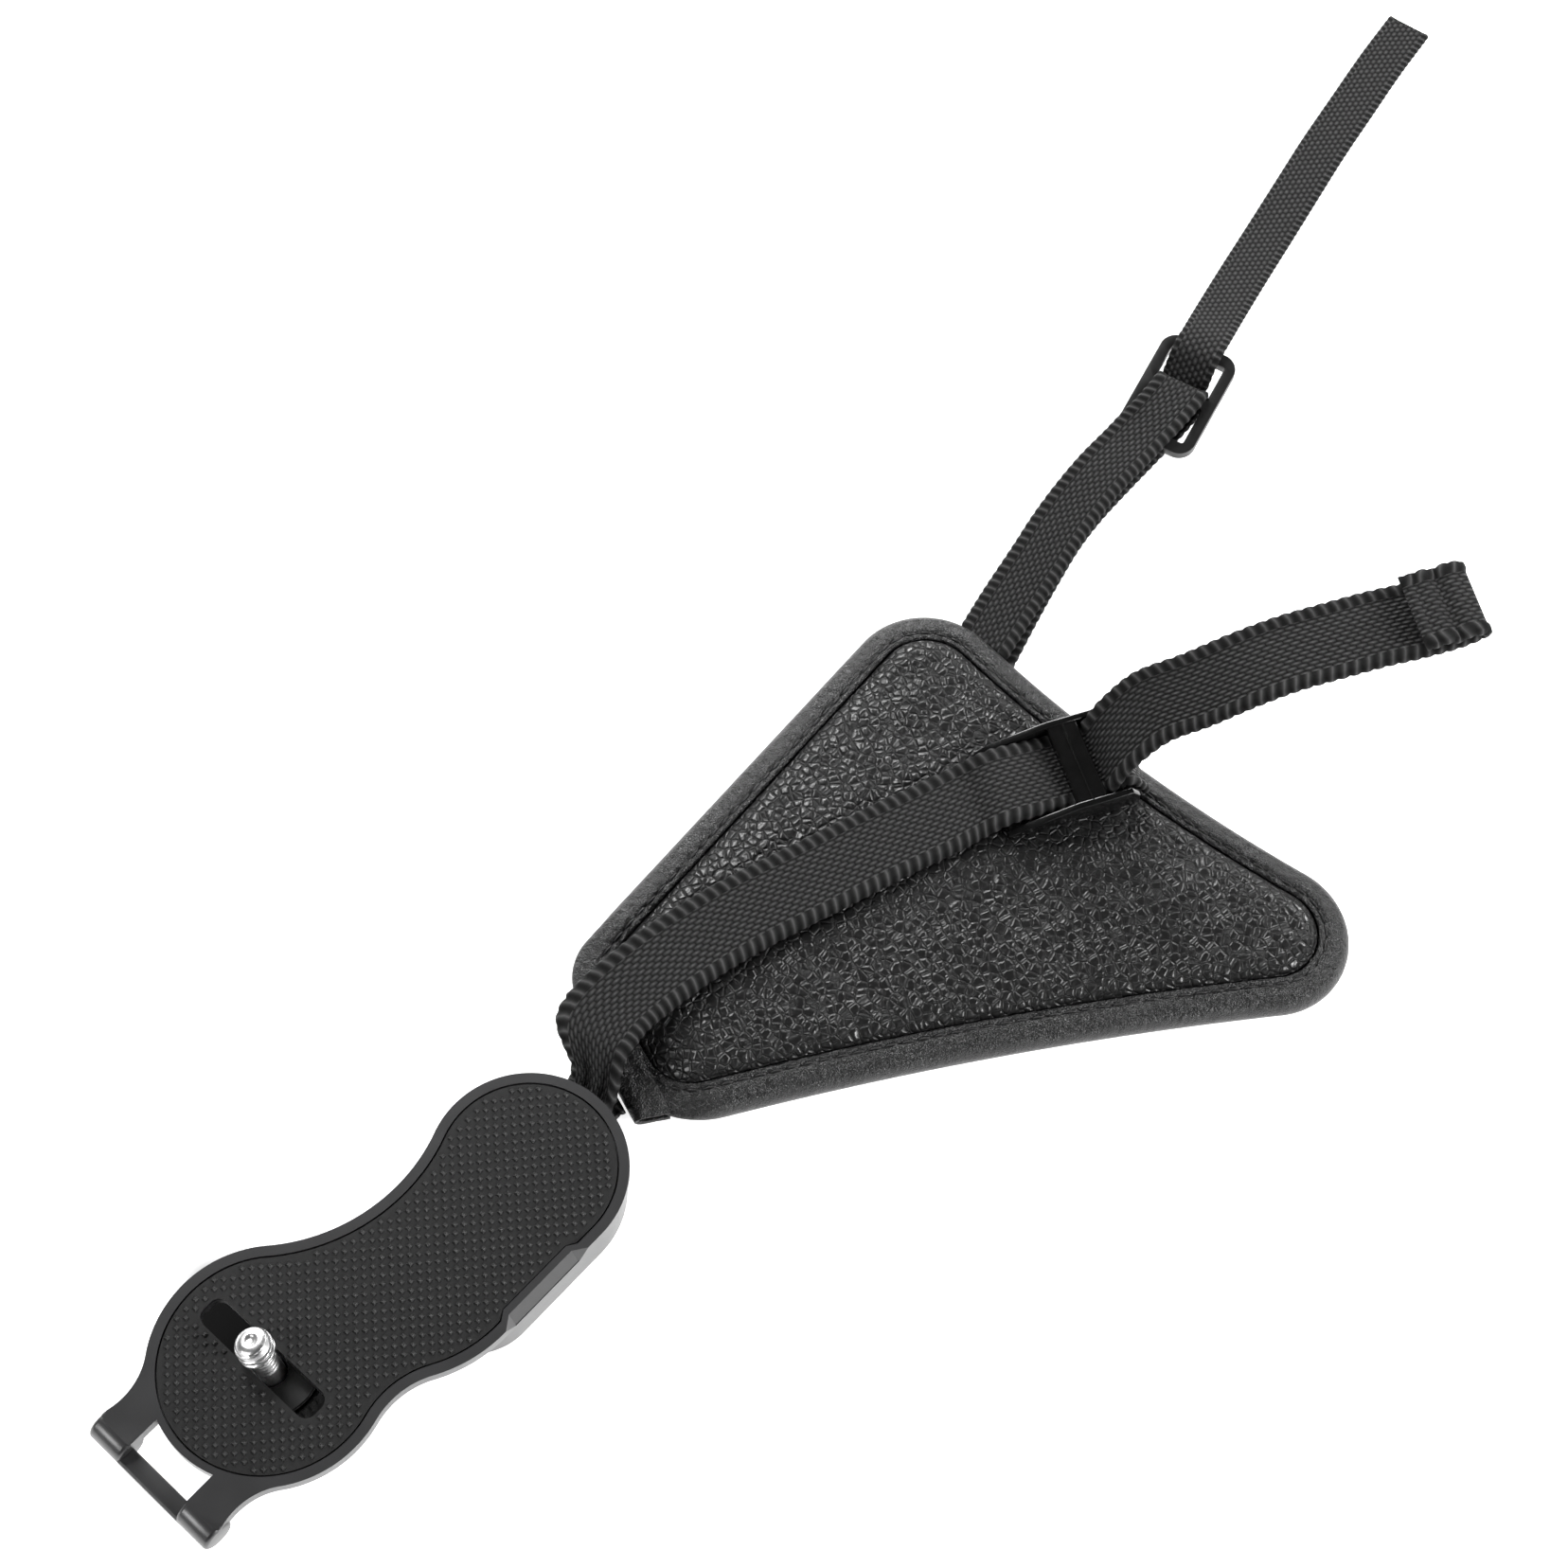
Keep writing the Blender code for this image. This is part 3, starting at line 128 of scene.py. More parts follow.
class Shader:
    """Short-hand for writing one material's node tree."""

    def __init__(self, name: str, colour: Triple, roughness: float, metallic: float = 0.0) -> None:
        """Start a material with a Principled shader.

        Args:
            name: Name of the material.
            colour: Linear base colour.
            roughness: Roughness of the shader.
            metallic: Metallic share.
        """
        self.material = bpy.data.materials.new(name)
        self.material.use_nodes = True
        self.tree = self.material.node_tree
        self.surface = self.tree.nodes["Principled BSDF"]
        self.surface.inputs["Base Color"].default_value = (*colour, 1.0)
        self.surface.inputs["Roughness"].default_value = roughness
        self.surface.inputs["Metallic"].default_value = metallic

    def node(self, kind: str, **inputs: object) -> bpy.types.Node:
        """Add a node to the material's tree."""
        return add_node(self.tree, kind, **inputs)

    def math(self, operation: str, *values: object) -> Socket:
        """Add a Math node to the material's tree."""
        return add_math(self.tree, operation, *values)

    def place(self, stretch: Triple = (1, 1, 1)) -> Socket:
        """Object coordinates in millimetres, stretched along each axis."""
        coords = self.tree.nodes.new("ShaderNodeTexCoord")
        scale = [s / MM for s in stretch]
        return self.node("ShaderNodeMapping", Vector=coords.outputs["Object"], Scale=scale).outputs["Vector"]

    def noise(self, where: Socket, scale: float, detail: float = 3.0) -> Socket:
        """Noise value at the given coordinates."""
        return self.node("ShaderNodeTexNoise", Vector=where, Scale=scale, Detail=detail).outputs["Fac"]

    def creases(self, where: Socket, scale: float) -> Socket:
        """Distance to the nearest border between Voronoi cells.

        Args:
            where: Coordinates in millimetres.
            scale: Cells for each millimetre.

        Returns:
            The distance's socket.
        """
        made = self.tree.nodes.new("ShaderNodeTexVoronoi")
        made.feature = "DISTANCE_TO_EDGE"
        self.tree.links.new(where, made.inputs["Vector"])
        made.inputs["Scale"].default_value = scale
        return made.outputs["Distance"]

    def spread(self, value: Socket, low: float, high: float) -> Socket:
        """Map a range of a value to 0 to 1, clamped."""
        return add_range(self.tree, value, (low, high), (0.0, 1.0))

    def shade_of(self, value: Socket, dark: Triple, light: Triple) -> None:
        """Base colour between two colours by a value from 0 to 1."""
        mix = self.tree.nodes.new("ShaderNodeMix")
        mix.data_type = "RGBA"
        self.tree.links.new(value, mix.inputs["Factor"])
        mix.inputs[6].default_value = (*dark, 1.0)
        mix.inputs[7].default_value = (*light, 1.0)
        self.tree.links.new(mix.outputs[2], self.surface.inputs["Base Color"])

    def rough(self, value: Socket, low: float, high: float) -> None:
        """Roughness between two numbers by a value from 0 to 1."""
        self.tree.links.new(add_range(self.tree, value, (0.0, 1.0), (low, high)),
                            self.surface.inputs["Roughness"])

    def bump(self, height: Socket, distance: float, under: Socket | None = None) -> Socket:
        """Add a bump and link it to the surface.

        Args:
            height: Height from 0 to 1.
            distance: Height in metres at 1.
            under: Normal of a bump below this one.

        Returns:
            The normal, for a further bump on top.
        """
        made = self.node("ShaderNodeBump", Height=height, Strength=1.0, Distance=distance)
        if under is not None:
            self.tree.links.new(under, made.inputs["Normal"])
        self.tree.links.new(made.outputs["Normal"], self.surface.inputs["Normal"])
        return made.outputs["Normal"]


class Join(Enum):
    """What a Boolean does with the other piece."""

    ADD = "UNION"
    CUT = "DIFFERENCE"


@dataclass(frozen=True)
class MouldedPlastic:
    """Matt moulding with a fine spark-eroded grain."""

    name: str = "plate_moulding"
    colour: Triple = (0.02, 0.02, 0.021)
    roughness: tuple[float, float] = (0.36, 0.46)
    grain: float = 0.012 * MM
    coat: float = 0.8
    gloss: float = 0.5

    def material(self) -> Material:
        """Build the material."""
        shader = Shader(self.name, self.colour, self.roughness[0])
        where = shader.place()
        broad = shader.noise(where, 0.12, 2.0)
        fine = shader.noise(where, 5.0, 4.0)
        shader.shade_of(broad, tuple(c * 0.85 for c in self.colour), tuple(c * 1.2 for c in self.colour))
        shader.rough(broad, *self.roughness)
        shader.surface.inputs["Coat Weight"].default_value = self.coat
        shader.surface.inputs["Coat Roughness"].default_value = 0.3
        shader.surface.inputs["Specular IOR Level"].default_value = self.gloss
        shader.surface.inputs["Coat IOR"].default_value = 1.6
        shader.bump(fine, self.grain)
        return shader.material


@dataclass(frozen=True)
class SeatRubber:
    """Black rubber with a dusty, slightly mottled surface."""

    name: str = "seat_rubber"
    colour: Triple = (0.016, 0.016, 0.016)

    def material(self) -> Material:
        """Build the material."""
        shader = Shader(self.name, self.colour, 0.6)
        where = shader.place()
        mottle = shader.noise(where, 0.9, 4.0)
        shader.shade_of(mottle, (0.012, 0.012, 0.012), (0.022, 0.022, 0.022))
        shader.rough(shader.noise(where, 3.0, 3.0), 0.34, 0.46)
        shader.surface.inputs["Specular IOR Level"].default_value = 0.4
        shader.bump(shader.noise(where, 7.0, 4.0), 0.02 * MM)
        return shader.material


@dataclass(frozen=True)
class BrightSteel:
    """Plated steel with fine turning marks."""

    name: str = "bright_steel"
    colour: Triple = (0.9, 0.9, 0.9)

    def material(self) -> Material:
        """Build the material."""
        shader = Shader(self.name, self.colour, 0.25, 1.0)
        where = shader.place((1, 1, 4))
        marks = shader.noise(where, 1.6, 4.0)
        shader.rough(marks, 0.22, 0.4)
        shader.bump(marks, 0.02 * MM)
        return shader.material


@dataclass(frozen=True)
class GrainLeather:
    """Pebble-grain leather: rounded grains with creases between them."""

    name: str = "grain_leather"
    colour: Triple = (0.009, 0.009, 0.009)
    grain: float = 1.65
    depth: float = 0.34 * MM

    def material(self) -> Material:
        """Build the material."""
        shader = Shader(self.name, self.colour, 0.3)
        where = shader.place()
        wobble = shader.node("ShaderNodeTexNoise", Vector=where, Scale=0.8, Detail=2.0).outputs["Color"]
        moved = shader.node("ShaderNodeVectorMath")
        moved.operation = "MULTIPLY_ADD"
        shader.tree.links.new(wobble, moved.inputs[0])
        moved.inputs[1].default_value = (0.22, 0.22, 0.22)
        shader.tree.links.new(where, moved.inputs[2])
        crease = shader.creases(moved.outputs[0], 1.0 / self.grain)
        pebble = shader.spread(crease, 0.0, 0.3)
        turned = shader.math("SUBTRACT", 1.0, pebble)
        height = shader.math("SUBTRACT", 1.0, shader.math("POWER", turned, 2.4))
        dome = shader.spread(crease, 0.02, 0.14)
        # Painted shade: the creases between the grains are painted near black and the grain domes lighter.
        shader.shade_of(dome, (0.0005, 0.0005, 0.0005), tuple(c * 1.3 for c in self.colour))
        shader.rough(dome, 0.7, 0.3)
        under = shader.bump(shader.noise(where, 0.7, 1.0), 0.25 * MM)
        shader.bump(height, self.depth, under)
        return shader.material


@dataclass(frozen=True)
class SmoothLeather:
    """Thin smooth leather with fine creases, for the binding and the strip."""

    name: str = "smooth_leather"
    colour: Triple = (0.015, 0.015, 0.015)

    def material(self) -> Material:
        """Build the material."""
        shader = Shader(self.name, self.colour, 0.36)
        where = shader.place()
        fine = shader.creases(where, 2.2)
        pores = shader.spread(fine, 0.0, 0.3)
        broad = shader.noise(where, 0.35, 4.0)
        shader.shade_of(broad, (0.005, 0.005, 0.005), (0.016, 0.016, 0.016))
        shader.rough(broad, 0.24, 0.36)
        crease = shader.noise(shader.place((1.0, 1.0, 0.4)), 0.8, 5.0)
        under = shader.bump(crease, 0.6 * MM)
        shader.bump(pores, 0.07 * MM, under)
        return shader.material


@dataclass(frozen=True)
class NylonWebbing:
    """Woven nylon: columns of yarn floats, read from the strap's own run and width."""

    name: str = "nylon_webbing"
    colour: Triple = (0.03, 0.03, 0.03)
    column: float = 0.8
    run: float = 2.0
    step: float = 0.5
    field_half: float = 5.2
    rib: float = 2.2
    slant: float = 0.35
    relief: float = 0.6 * MM

    def material(self) -> Material:
        """Build the material."""
        shader = Shader(self.name, self.colour, 0.5)
        coords = shader.tree.nodes.new("ShaderNodeUVMap")
        coords.uv_map = "run"
        split = shader.node("ShaderNodeSeparateXYZ", Vector=coords.outputs["UV"])
        along, across = split.outputs["X"], split.outputs["Y"]
        column = shader.math("DIVIDE", across, self.column)
        index = shader.math("FLOOR", column)
        side = shader.math("PINGPONG", column, 0.5)
        ridge = shader.math("POWER", shader.math("MULTIPLY", side, 2.0), 0.8)
        phase = shader.math("MULTIPLY_ADD", index, self.step, shader.math("DIVIDE", along, self.run))
        rise = shader.math("POWER", shader.math("MULTIPLY", shader.math("PINGPONG", phase, 0.5), 2.0), 0.8)
        weave = shader.math("MULTIPLY", ridge, rise)
        reach = shader.math("ABSOLUTE", across)
        slanted = shader.math("DIVIDE", shader.math("MULTIPLY_ADD", reach, self.slant, along), self.rib)
        rib = shader.math("MULTIPLY", shader.math("PINGPONG", slanted, 0.5), 2.0)
        within = shader.math("LESS_THAN", reach, self.field_half)
        beyond = shader.math("SUBTRACT", 1.0, within)
        fibre = shader.noise(shader.place(), 9.0, 2.0)
        woven = shader.math("MULTIPLY", weave, within)
        light = shader.math("ADD", woven, shader.math("MULTIPLY", shader.math("POWER", rib, 3.0), beyond))
        height = shader.math("MULTIPLY_ADD", fibre, 0.25, woven)
        # Painted light and shade: raised yarn floats and selvedge ribs are painted lighter, the hollows
        # between them near black.
        shader.shade_of(light, tuple(c * 0.02 for c in self.colour), tuple(c * 2.2 for c in self.colour))
        shader.rough(light, 0.8, 0.4)
        shader.surface.inputs["Specular IOR Level"].default_value = 0.25
        shader.bump(height, self.relief)
        return shader.material


@dataclass(frozen=True)
class GlossPlastic:
    """Polished moulding with faint waviness."""

    name: str = "gloss_moulding"
    colour: Triple = (0.005, 0.005, 0.005)
    roughness: tuple[float, float] = (0.12, 0.26)

    def material(self) -> Material:
        """Build the material."""
        shader = Shader(self.name, self.colour, self.roughness[0])
        where = shader.place()
        broad = shader.noise(where, 0.4, 3.0)
        shader.rough(broad, *self.roughness)
        shader.shade_of(broad, tuple(c * 0.8 for c in self.colour), tuple(c * 1.3 for c in self.colour))
        shader.bump(shader.noise(where, 1.1, 2.0), 0.02 * MM)
        return shader.material


@dataclass(frozen=True)
class SewingThread:
    """Black bonded thread with a twist."""

    name: str = "sewing_thread"
    colour: Triple = (0.012, 0.012, 0.012)

    def material(self) -> Material:
        """Build the material."""
        shader = Shader(self.name, self.colour, 0.42)
        where = shader.place()
        twist = shader.noise(where, 5.0, 2.0)
        shader.shade_of(twist, (0.006, 0.006, 0.006), (0.022, 0.022, 0.022))
        shader.bump(twist, 0.05 * MM)
        return shader.material


# Outlines, prisms and routes


@dataclass
class Outline:
    """Closed outline, counter-clockwise: corner circles joined by straight (0) or hollow sides."""

    corners: list[Triple]
    sides: list[float]
    spacing: float = 0.7 * MM

    def _arc(self, centre: Point2, radius: float, start: float, end: float, inset: float) -> list[Point2]:
        """Points on an arc; their number doesn't depend on the inset."""
        count = max(3, math.ceil(abs(end - start) * radius / self.spacing))
        radius += inset
        turns = [start + (end - start) * i / count for i in range(count + 1)]
        return [(centre[0] + radius * math.cos(a), centre[1] + radius * math.sin(a)) for a in turns]

    def _side(self, first: Triple, second: Triple,
              hollow: float) -> tuple[float, float, Point2 | None]:
        """Directions in which a side leaves one corner and meets the next, and its centre."""
        dx, dy = second[0] - first[0], second[1] - first[1]
        reach = math.hypot(dx, dy)
        heading = math.atan2(dy, dx)
        if hollow == 0.0:
            normal = heading - math.acos((first[2] - second[2]) / reach)
            return normal, normal, None
        near, far = first[2] + hollow, second[2] + hollow
        leave = heading - math.acos((near ** 2 + reach ** 2 - far ** 2) / (2 * near * reach))
        middle = (first[0] + near * math.cos(leave), first[1] + near * math.sin(leave))
        return leave, math.atan2(middle[1] - second[1], middle[0] - second[0]), middle

    def points(self, inset: float = 0.0) -> list[Point2]:
        """Points of the outline moved inwards.

        Args:
            inset: Distance inwards.

        Returns:
            The points, as many for every inset.
        """
        count = len(self.corners)
        joints = [self._side(self.corners[i], self.corners[(i + 1) % count], self.sides[i])
                  for i in range(count)]
        found: list[Point2] = []
        for i, (x, y, radius) in enumerate(self.corners):
            start, end = joints[i - 1][1], joints[i][0]
            while end < start:
                end += math.tau
            found += self._arc((x, y), radius, start, end, -inset)
            leave, meet, middle = joints[i]
            follow = self.corners[(i + 1) % count]
            if middle is None:
                a = found[-1]
                b = (follow[0] + (follow[2] - inset) * math.cos(meet),
                     follow[1] + (follow[2] - inset) * math.sin(meet))
                full = math.dist((x + radius * math.cos(leave), y + radius * math.sin(leave)),
                                 (follow[0] + follow[2] * math.cos(meet),
                                  follow[1] + follow[2] * math.sin(meet)))
                pieces = max(1, math.ceil(full / self.spacing))
                found += [(a[0] + (b[0] - a[0]) * k / pieces, a[1] + (b[1] - a[1]) * k / pieces)
                          for k in range(1, pieces)]
            else:
                begin, finish = leave + math.pi, meet + math.pi
                while finish > begin:
                    finish -= math.tau
                found += self._arc(middle, self.sides[i], begin, finish, inset)[1:-1]
        return found


def new_object(name: str, mesh: bpy.types.Mesh) -> Item:
    """Link a mesh to the scene as an object at the origin."""
    made = bpy.data.objects.new(name, mesh)
    bpy.context.scene.collection.objects.link(made)
    return made


def mesh_of(bm: bmesh.types.BMesh, name: str) -> bpy.types.Mesh:
    """Turn a bmesh into a mesh and free it."""
    mesh = bpy.data.meshes.new(name)
    bm.normal_update()
    bm.to_mesh(mesh)
    bm.free()
    return mesh


def prism(name: str, points: list[Point2], low: float, high: float, round_edge: float = 0.0,
          segments: int = 3) -> Item:
    """Closed prism over an outline, with rounded rims.

    Args:
        name: Name of the object.
        points: Outline, counter-clockwise.
        low: Height of the lower face.
        high: Height of the upper face.
        round_edge: Radius of the rims.
        segments: Steps in a rounded rim.

    Returns:
        The object.
    """
    bm = bmesh.new()
    lower = [bm.verts.new((x, y, low)) for x, y in points]
    upper = [bm.verts.new((x, y, high)) for x, y in points]
    count = len(points)
    for i in range(count):
        j = (i + 1) % count
        bm.faces.new((lower[i], lower[j], upper[j], upper[i]))
    caps = [bm.faces.new(list(reversed(lower))), bm.faces.new(upper)]
    if round_edge > 0.0:
        rims = {edge for cap in caps for edge in cap.edges}
        bmesh.ops.bevel(bm, geom=list(rims), offset=round_edge, segments=segments, affect="EDGES",
                        profile=0.5)
    return new_object(name, mesh_of(bm, name))


def block(name: str, low: Triple, high: Triple, round_edge: float = 0.0) -> Item:
    """Box between two corners with rounded edges."""
    bm = bmesh.new()
    bmesh.ops.create_cube(bm, size=1.0)
    bmesh.ops.scale(bm, verts=bm.verts, vec=Vector(high) - Vector(low))
    bmesh.ops.translate(bm, verts=bm.verts, vec=(Vector(low) + Vector(high)) / 2)
    if round_edge > 0.0:
        bmesh.ops.bevel(bm, geom=list(bm.edges), offset=round_edge, segments=3, affect="EDGES", profile=0.5)
    return new_object(name, mesh_of(bm, name))


def rod(name: str, radius: float, low: Triple, high: Triple,
        round_edge: float = 0.0, sides: int = 48) -> Item:
    """Rod along Y between two points, its end rims rounded."""
    bm = bmesh.new()
    bmesh.ops.create_cone(bm, cap_ends=True, segments=sides, radius1=radius, radius2=radius,
                          depth=high[1] - low[1])
    if round_edge > 0.0:
        rims = [edge for edge in bm.edges if any(len(face.verts) > 4 for face in edge.link_faces)]
        bmesh.ops.bevel(bm, geom=rims, offset=round_edge, segments=4, affect="EDGES", profile=0.5)
    bmesh.ops.rotate(bm, verts=bm.verts, cent=(0, 0, 0), matrix=Matrix.Rotation(math.pi / 2, 3, "X"))
    bmesh.ops.translate(bm, verts=bm.verts, vec=(Vector(low) + Vector(high)) / 2)
    return new_object(name, mesh_of(bm, name))


def combine(item: Item, steps: list[tuple[Item, Join]]) -> Item:
    """Join or cut an object with others, one after another, and drop the others.

    Args:
        item: The object that is changed.
        steps: Pairs of the other object and what is done with it.

    Returns:
        The changed object.
    """
    for other, operation in steps:
        modifier = item.modifiers.new(other.name, "BOOLEAN")
        modifier.operation = operation.value
        modifier.solver = "EXACT"
        modifier.object = other
    bake(item)
    for other, _ in steps:
        bpy.data.objects.remove(other, do_unlink=True)
    return item


def bake(item: Item) -> Item:
    """Apply an object's modifiers to its mesh."""
    bpy.context.view_layer.update()
    graph = bpy.context.evaluated_depsgraph_get()
    mesh = bpy.data.meshes.new_from_object(item.evaluated_get(graph))
    item.modifiers.clear()
    item.data = mesh
    return item


def bridge(bm: bmesh.types.BMesh, rings: list[list[bmesh.types.BMVert]]) -> None:
    """Join closed rings of equally many vertices, one after another.

    Args:
        bm: The mesh that the rings are in.
        rings: Rings of vertices, in order.
    """
    count = len(rings[0])
    for first, second in zip(rings, rings[1:]):
        for i in range(count):
            j = (i + 1) % count
            bm.faces.new((first[i], first[j], second[j], second[i]))


def settle(item: Item, place: Matrix) -> Item:
    """Put a placement into the mesh, so that the object stays at the origin."""
    item.data.transform(place)
    item.matrix_world = Matrix.Identity(4)
    return item


def shade(item: Item, angle: float = 35.0) -> Item:
    """Shade an object smooth with sharp edges above an angle in degrees."""
    item.data.shade_smooth()
    item.data.set_sharp_from_angle(angle=math.radians(angle))
    return item


def dress(item: Item, material: Material, slot: str, body: str, *nodes: str) -> Item:
    """Give a finished piece its material and body, and hide the CAD nodes that it stands for."""
    item.data.materials.clear()
    item.data.materials.append(material)
    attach(item, body)
    if nodes:
        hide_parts(*nodes)
    LOG.info("%s: %d faces", item.name, len(item.data.polygons))
    return item


def carry_over(node: str, material: Material, angle: float = 32.0) -> None:
    """Show a CAD node with smooth shading and a new material."""
    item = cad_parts[node]
    weld = item.modifiers.new("weld", "WELD")
    weld.merge_threshold = 0.000002
    item.data.shade_smooth()
    split = item.modifiers.new("split", "EDGE_SPLIT")
    split.split_angle = math.radians(angle)
    for index in range(len(item.material_slots)):
        item.material_slots[index].material = material
    if not item.material_slots:
        item.data.materials.append(material)
    LOG.info("%s: carried over", node)


def smooth_route(stops: list[Stop], spacing: float) -> list[Vector]:
    """Centripetal curve through stops, sampled about every spacing.

    Args:
        stops: x, y, z and the plan angle of the width at each stop.
        spacing: Distance between samples.

    Returns:
        Four-part vectors like the stops.
    """
    fixed = [Vector(stop) for stop in stops]
    ends = [fixed[0] * 2 - fixed[1]] + fixed + [fixed[-1] * 2 - fixed[-2]]
    route = [fixed[0]]
    for a, b, c, d in zip(ends, ends[1:], ends[2:], ends[3:]):
        k1 = max(1e-5, (b - a).xyz.length ** 0.5)
        k2 = max(1e-5, (c - b).xyz.length ** 0.5)
        k3 = max(1e-5, (d - c).xyz.length ** 0.5)
        count = max(1, round((c - b).xyz.length / spacing))
        leave = (c - b) / k2 - (c - a) / (k1 + k2) + (b - a) / k1
        reach = (d - c) / k3 - (d - b) / (k2 + k3) + (c - b) / k2
        for step in range(1, count + 1):
            t = step / count
            h1 = 2 * t ** 3 - 3 * t ** 2 + 1
            h2 = t ** 3 - 2 * t ** 2 + t
            h3 = -2 * t ** 3 + 3 * t ** 2
            h4 = t ** 3 - t ** 2
            route.append(b * h1 + leave * (h2 * k2) + c * h3 + reach * (h4 * k2))
    return route


def turn_points(centre: Point2, radius: float, start: float, end: float, count: int) -> list[Point2]:
    """Points (u, w) on a fold round a bar, between two angles in degrees."""
    angles = [math.radians(start + (end - start) * i / count) for i in range(count + 1)]
    return [(centre[0] + radius * math.cos(a), centre[1] + radius * math.sin(a)) for a in angles]


def smooth_step(value: float) -> float:
    """Ease between 0 and 1."""
    t = min(1.0, max(0.0, value))
    return t * t * (3.0 - 2.0 * t)


@dataclass
class Gather:
    """Stretch at the start of a strap where it is gathered to a smaller width."""

    width: float
    end: float
    run: float

    def share(self, x: float) -> float:
        """1 where the strap is gathered, 0 where it is spread out."""
        return 1.0 - smooth_step((x - self.end) / self.run)


@dataclass
class Webbing:
    """A flat woven strap: ribbed selvedges with a scalloped outline and a woven field."""

    width: float
    thickness: float
    edge: float = 2.2 * MM
    rib_pitch: float = 2.2 * MM
    rib_height: float = 0.36 * MM
    scallop: float = 0.34 * MM
    slant: float = 0.35
    fold_height: float = 0.55 * MM

    def columns(self) -> list[float]:
        """Places across the width, closer together in the selvedges."""
        half = self.width / 2
        inner = half - self.edge
        rim = [half, half - 0.12 * MM, half - 0.45 * MM, half - 1.1 * MM, half - 1.75 * MM, inner,
               inner - 0.3 * MM]
        count = 7
        middle = [(inner - 0.3 * MM) * (1 - 2 * i / count) for i in range(1, count)]
        return [-v for v in rim] + sorted(middle) + list(reversed(rim))

    def build(self, name: str, stops: list[Stop], gather: Gather | None = None,
              step: float = 0.29 * MM) -> Item:
        """Build the strap's mesh along its stops, with a UV map of run and width in millimetres.

        Args:
            name: Name of the object.
            stops: The route's stops.
            gather: Where the strap is gathered to a smaller width, if it is.
            step: Distance between cross-sections.

        Returns:
            The object.
        """
        route = smooth_route(stops, step)
        half = self.width / 2
        rows: list[list[tuple[Vector, float, float]]] = []
        run = 0.0
        for index, stop in enumerate(route):
            if index:
                run += (stop.xyz - route[index - 1].xyz).length
            ahead = (route[min(index + 1, len(route) - 1)].xyz - route[max(index - 1, 0)].xyz).normalized()
            across = Vector((math.cos(stop[3]), math.sin(stop[3]), 0.0))
            normal = ahead.cross(across).normalized()
            narrow = gather.share(stop.x) if gather else 0.0
            squeeze = 1.0 - narrow * (1.0 - gather.width / self.width) if gather else 1.0
            loop: list[tuple[Vector, float, float]] = []
            for face in (1.0, -1.0):
                places = self.columns() if face > 0 else list(reversed(self.columns()))
                for v in places:
                    rib = abs(math.sin(math.pi * (run + abs(v) * self.slant) / self.rib_pitch)) ** 0.7
                    nearness = min(1.0, max(0.0, (abs(v) - (half - self.edge)) / (0.3 * MM)))
                    lift = self.rib_height * rib * nearness
                    rim = max(0.0, (abs(v) - (half - 0.5 * MM)) / (0.5 * MM))
                    depth = (self.thickness / 2) * (1.0 - 0.75 * rim ** 2) + lift * (1.0 - rim)
                    out = v + math.copysign(self.scallop * rib * nearness, v)
                    fold = narrow * self.fold_height * math.cos(v * math.tau / (self.width / 2.6) + 0.4)
                    spot = stop.xyz + across * (out * squeeze) + normal * (face * depth + fold)
                    loop.append((spot, run / MM, v / MM))
            rows.append(loop)
        bm = bmesh.new()
        uv = bm.loops.layers.uv.new("run")
        marks: dict[bmesh.types.BMVert, tuple[float, float]] = {}
        grid: list[list[bmesh.types.BMVert]] = []
        for loop in rows:
            line = []
            for place, u, v in loop:
                vertex = bm.verts.new(place)
                marks[vertex] = (u, v)
                line.append(vertex)
            grid.append(line)
        size = len(grid[0])
        for first, second in zip(grid, grid[1:]):
            for i in range(size):
                j = (i + 1) % size
                bm.faces.new((first[i], second[i], second[j], first[j]))
        bm.faces.new(grid[0])
        bm.faces.new(list(reversed(grid[-1])))
        for facet in bm.faces:
            for corner in facet.loops:
                corner[uv].uv = marks[corner.vert]
        bmesh.ops.recalc_face_normals(bm, faces=bm.faces)
        made = new_object(name, mesh_of(bm, name))
        return shade(made, 60.0)


# Copies made by Geometry Nodes

COPY_SIZES = (0.95, 1.05)
COPY_SEED = 7


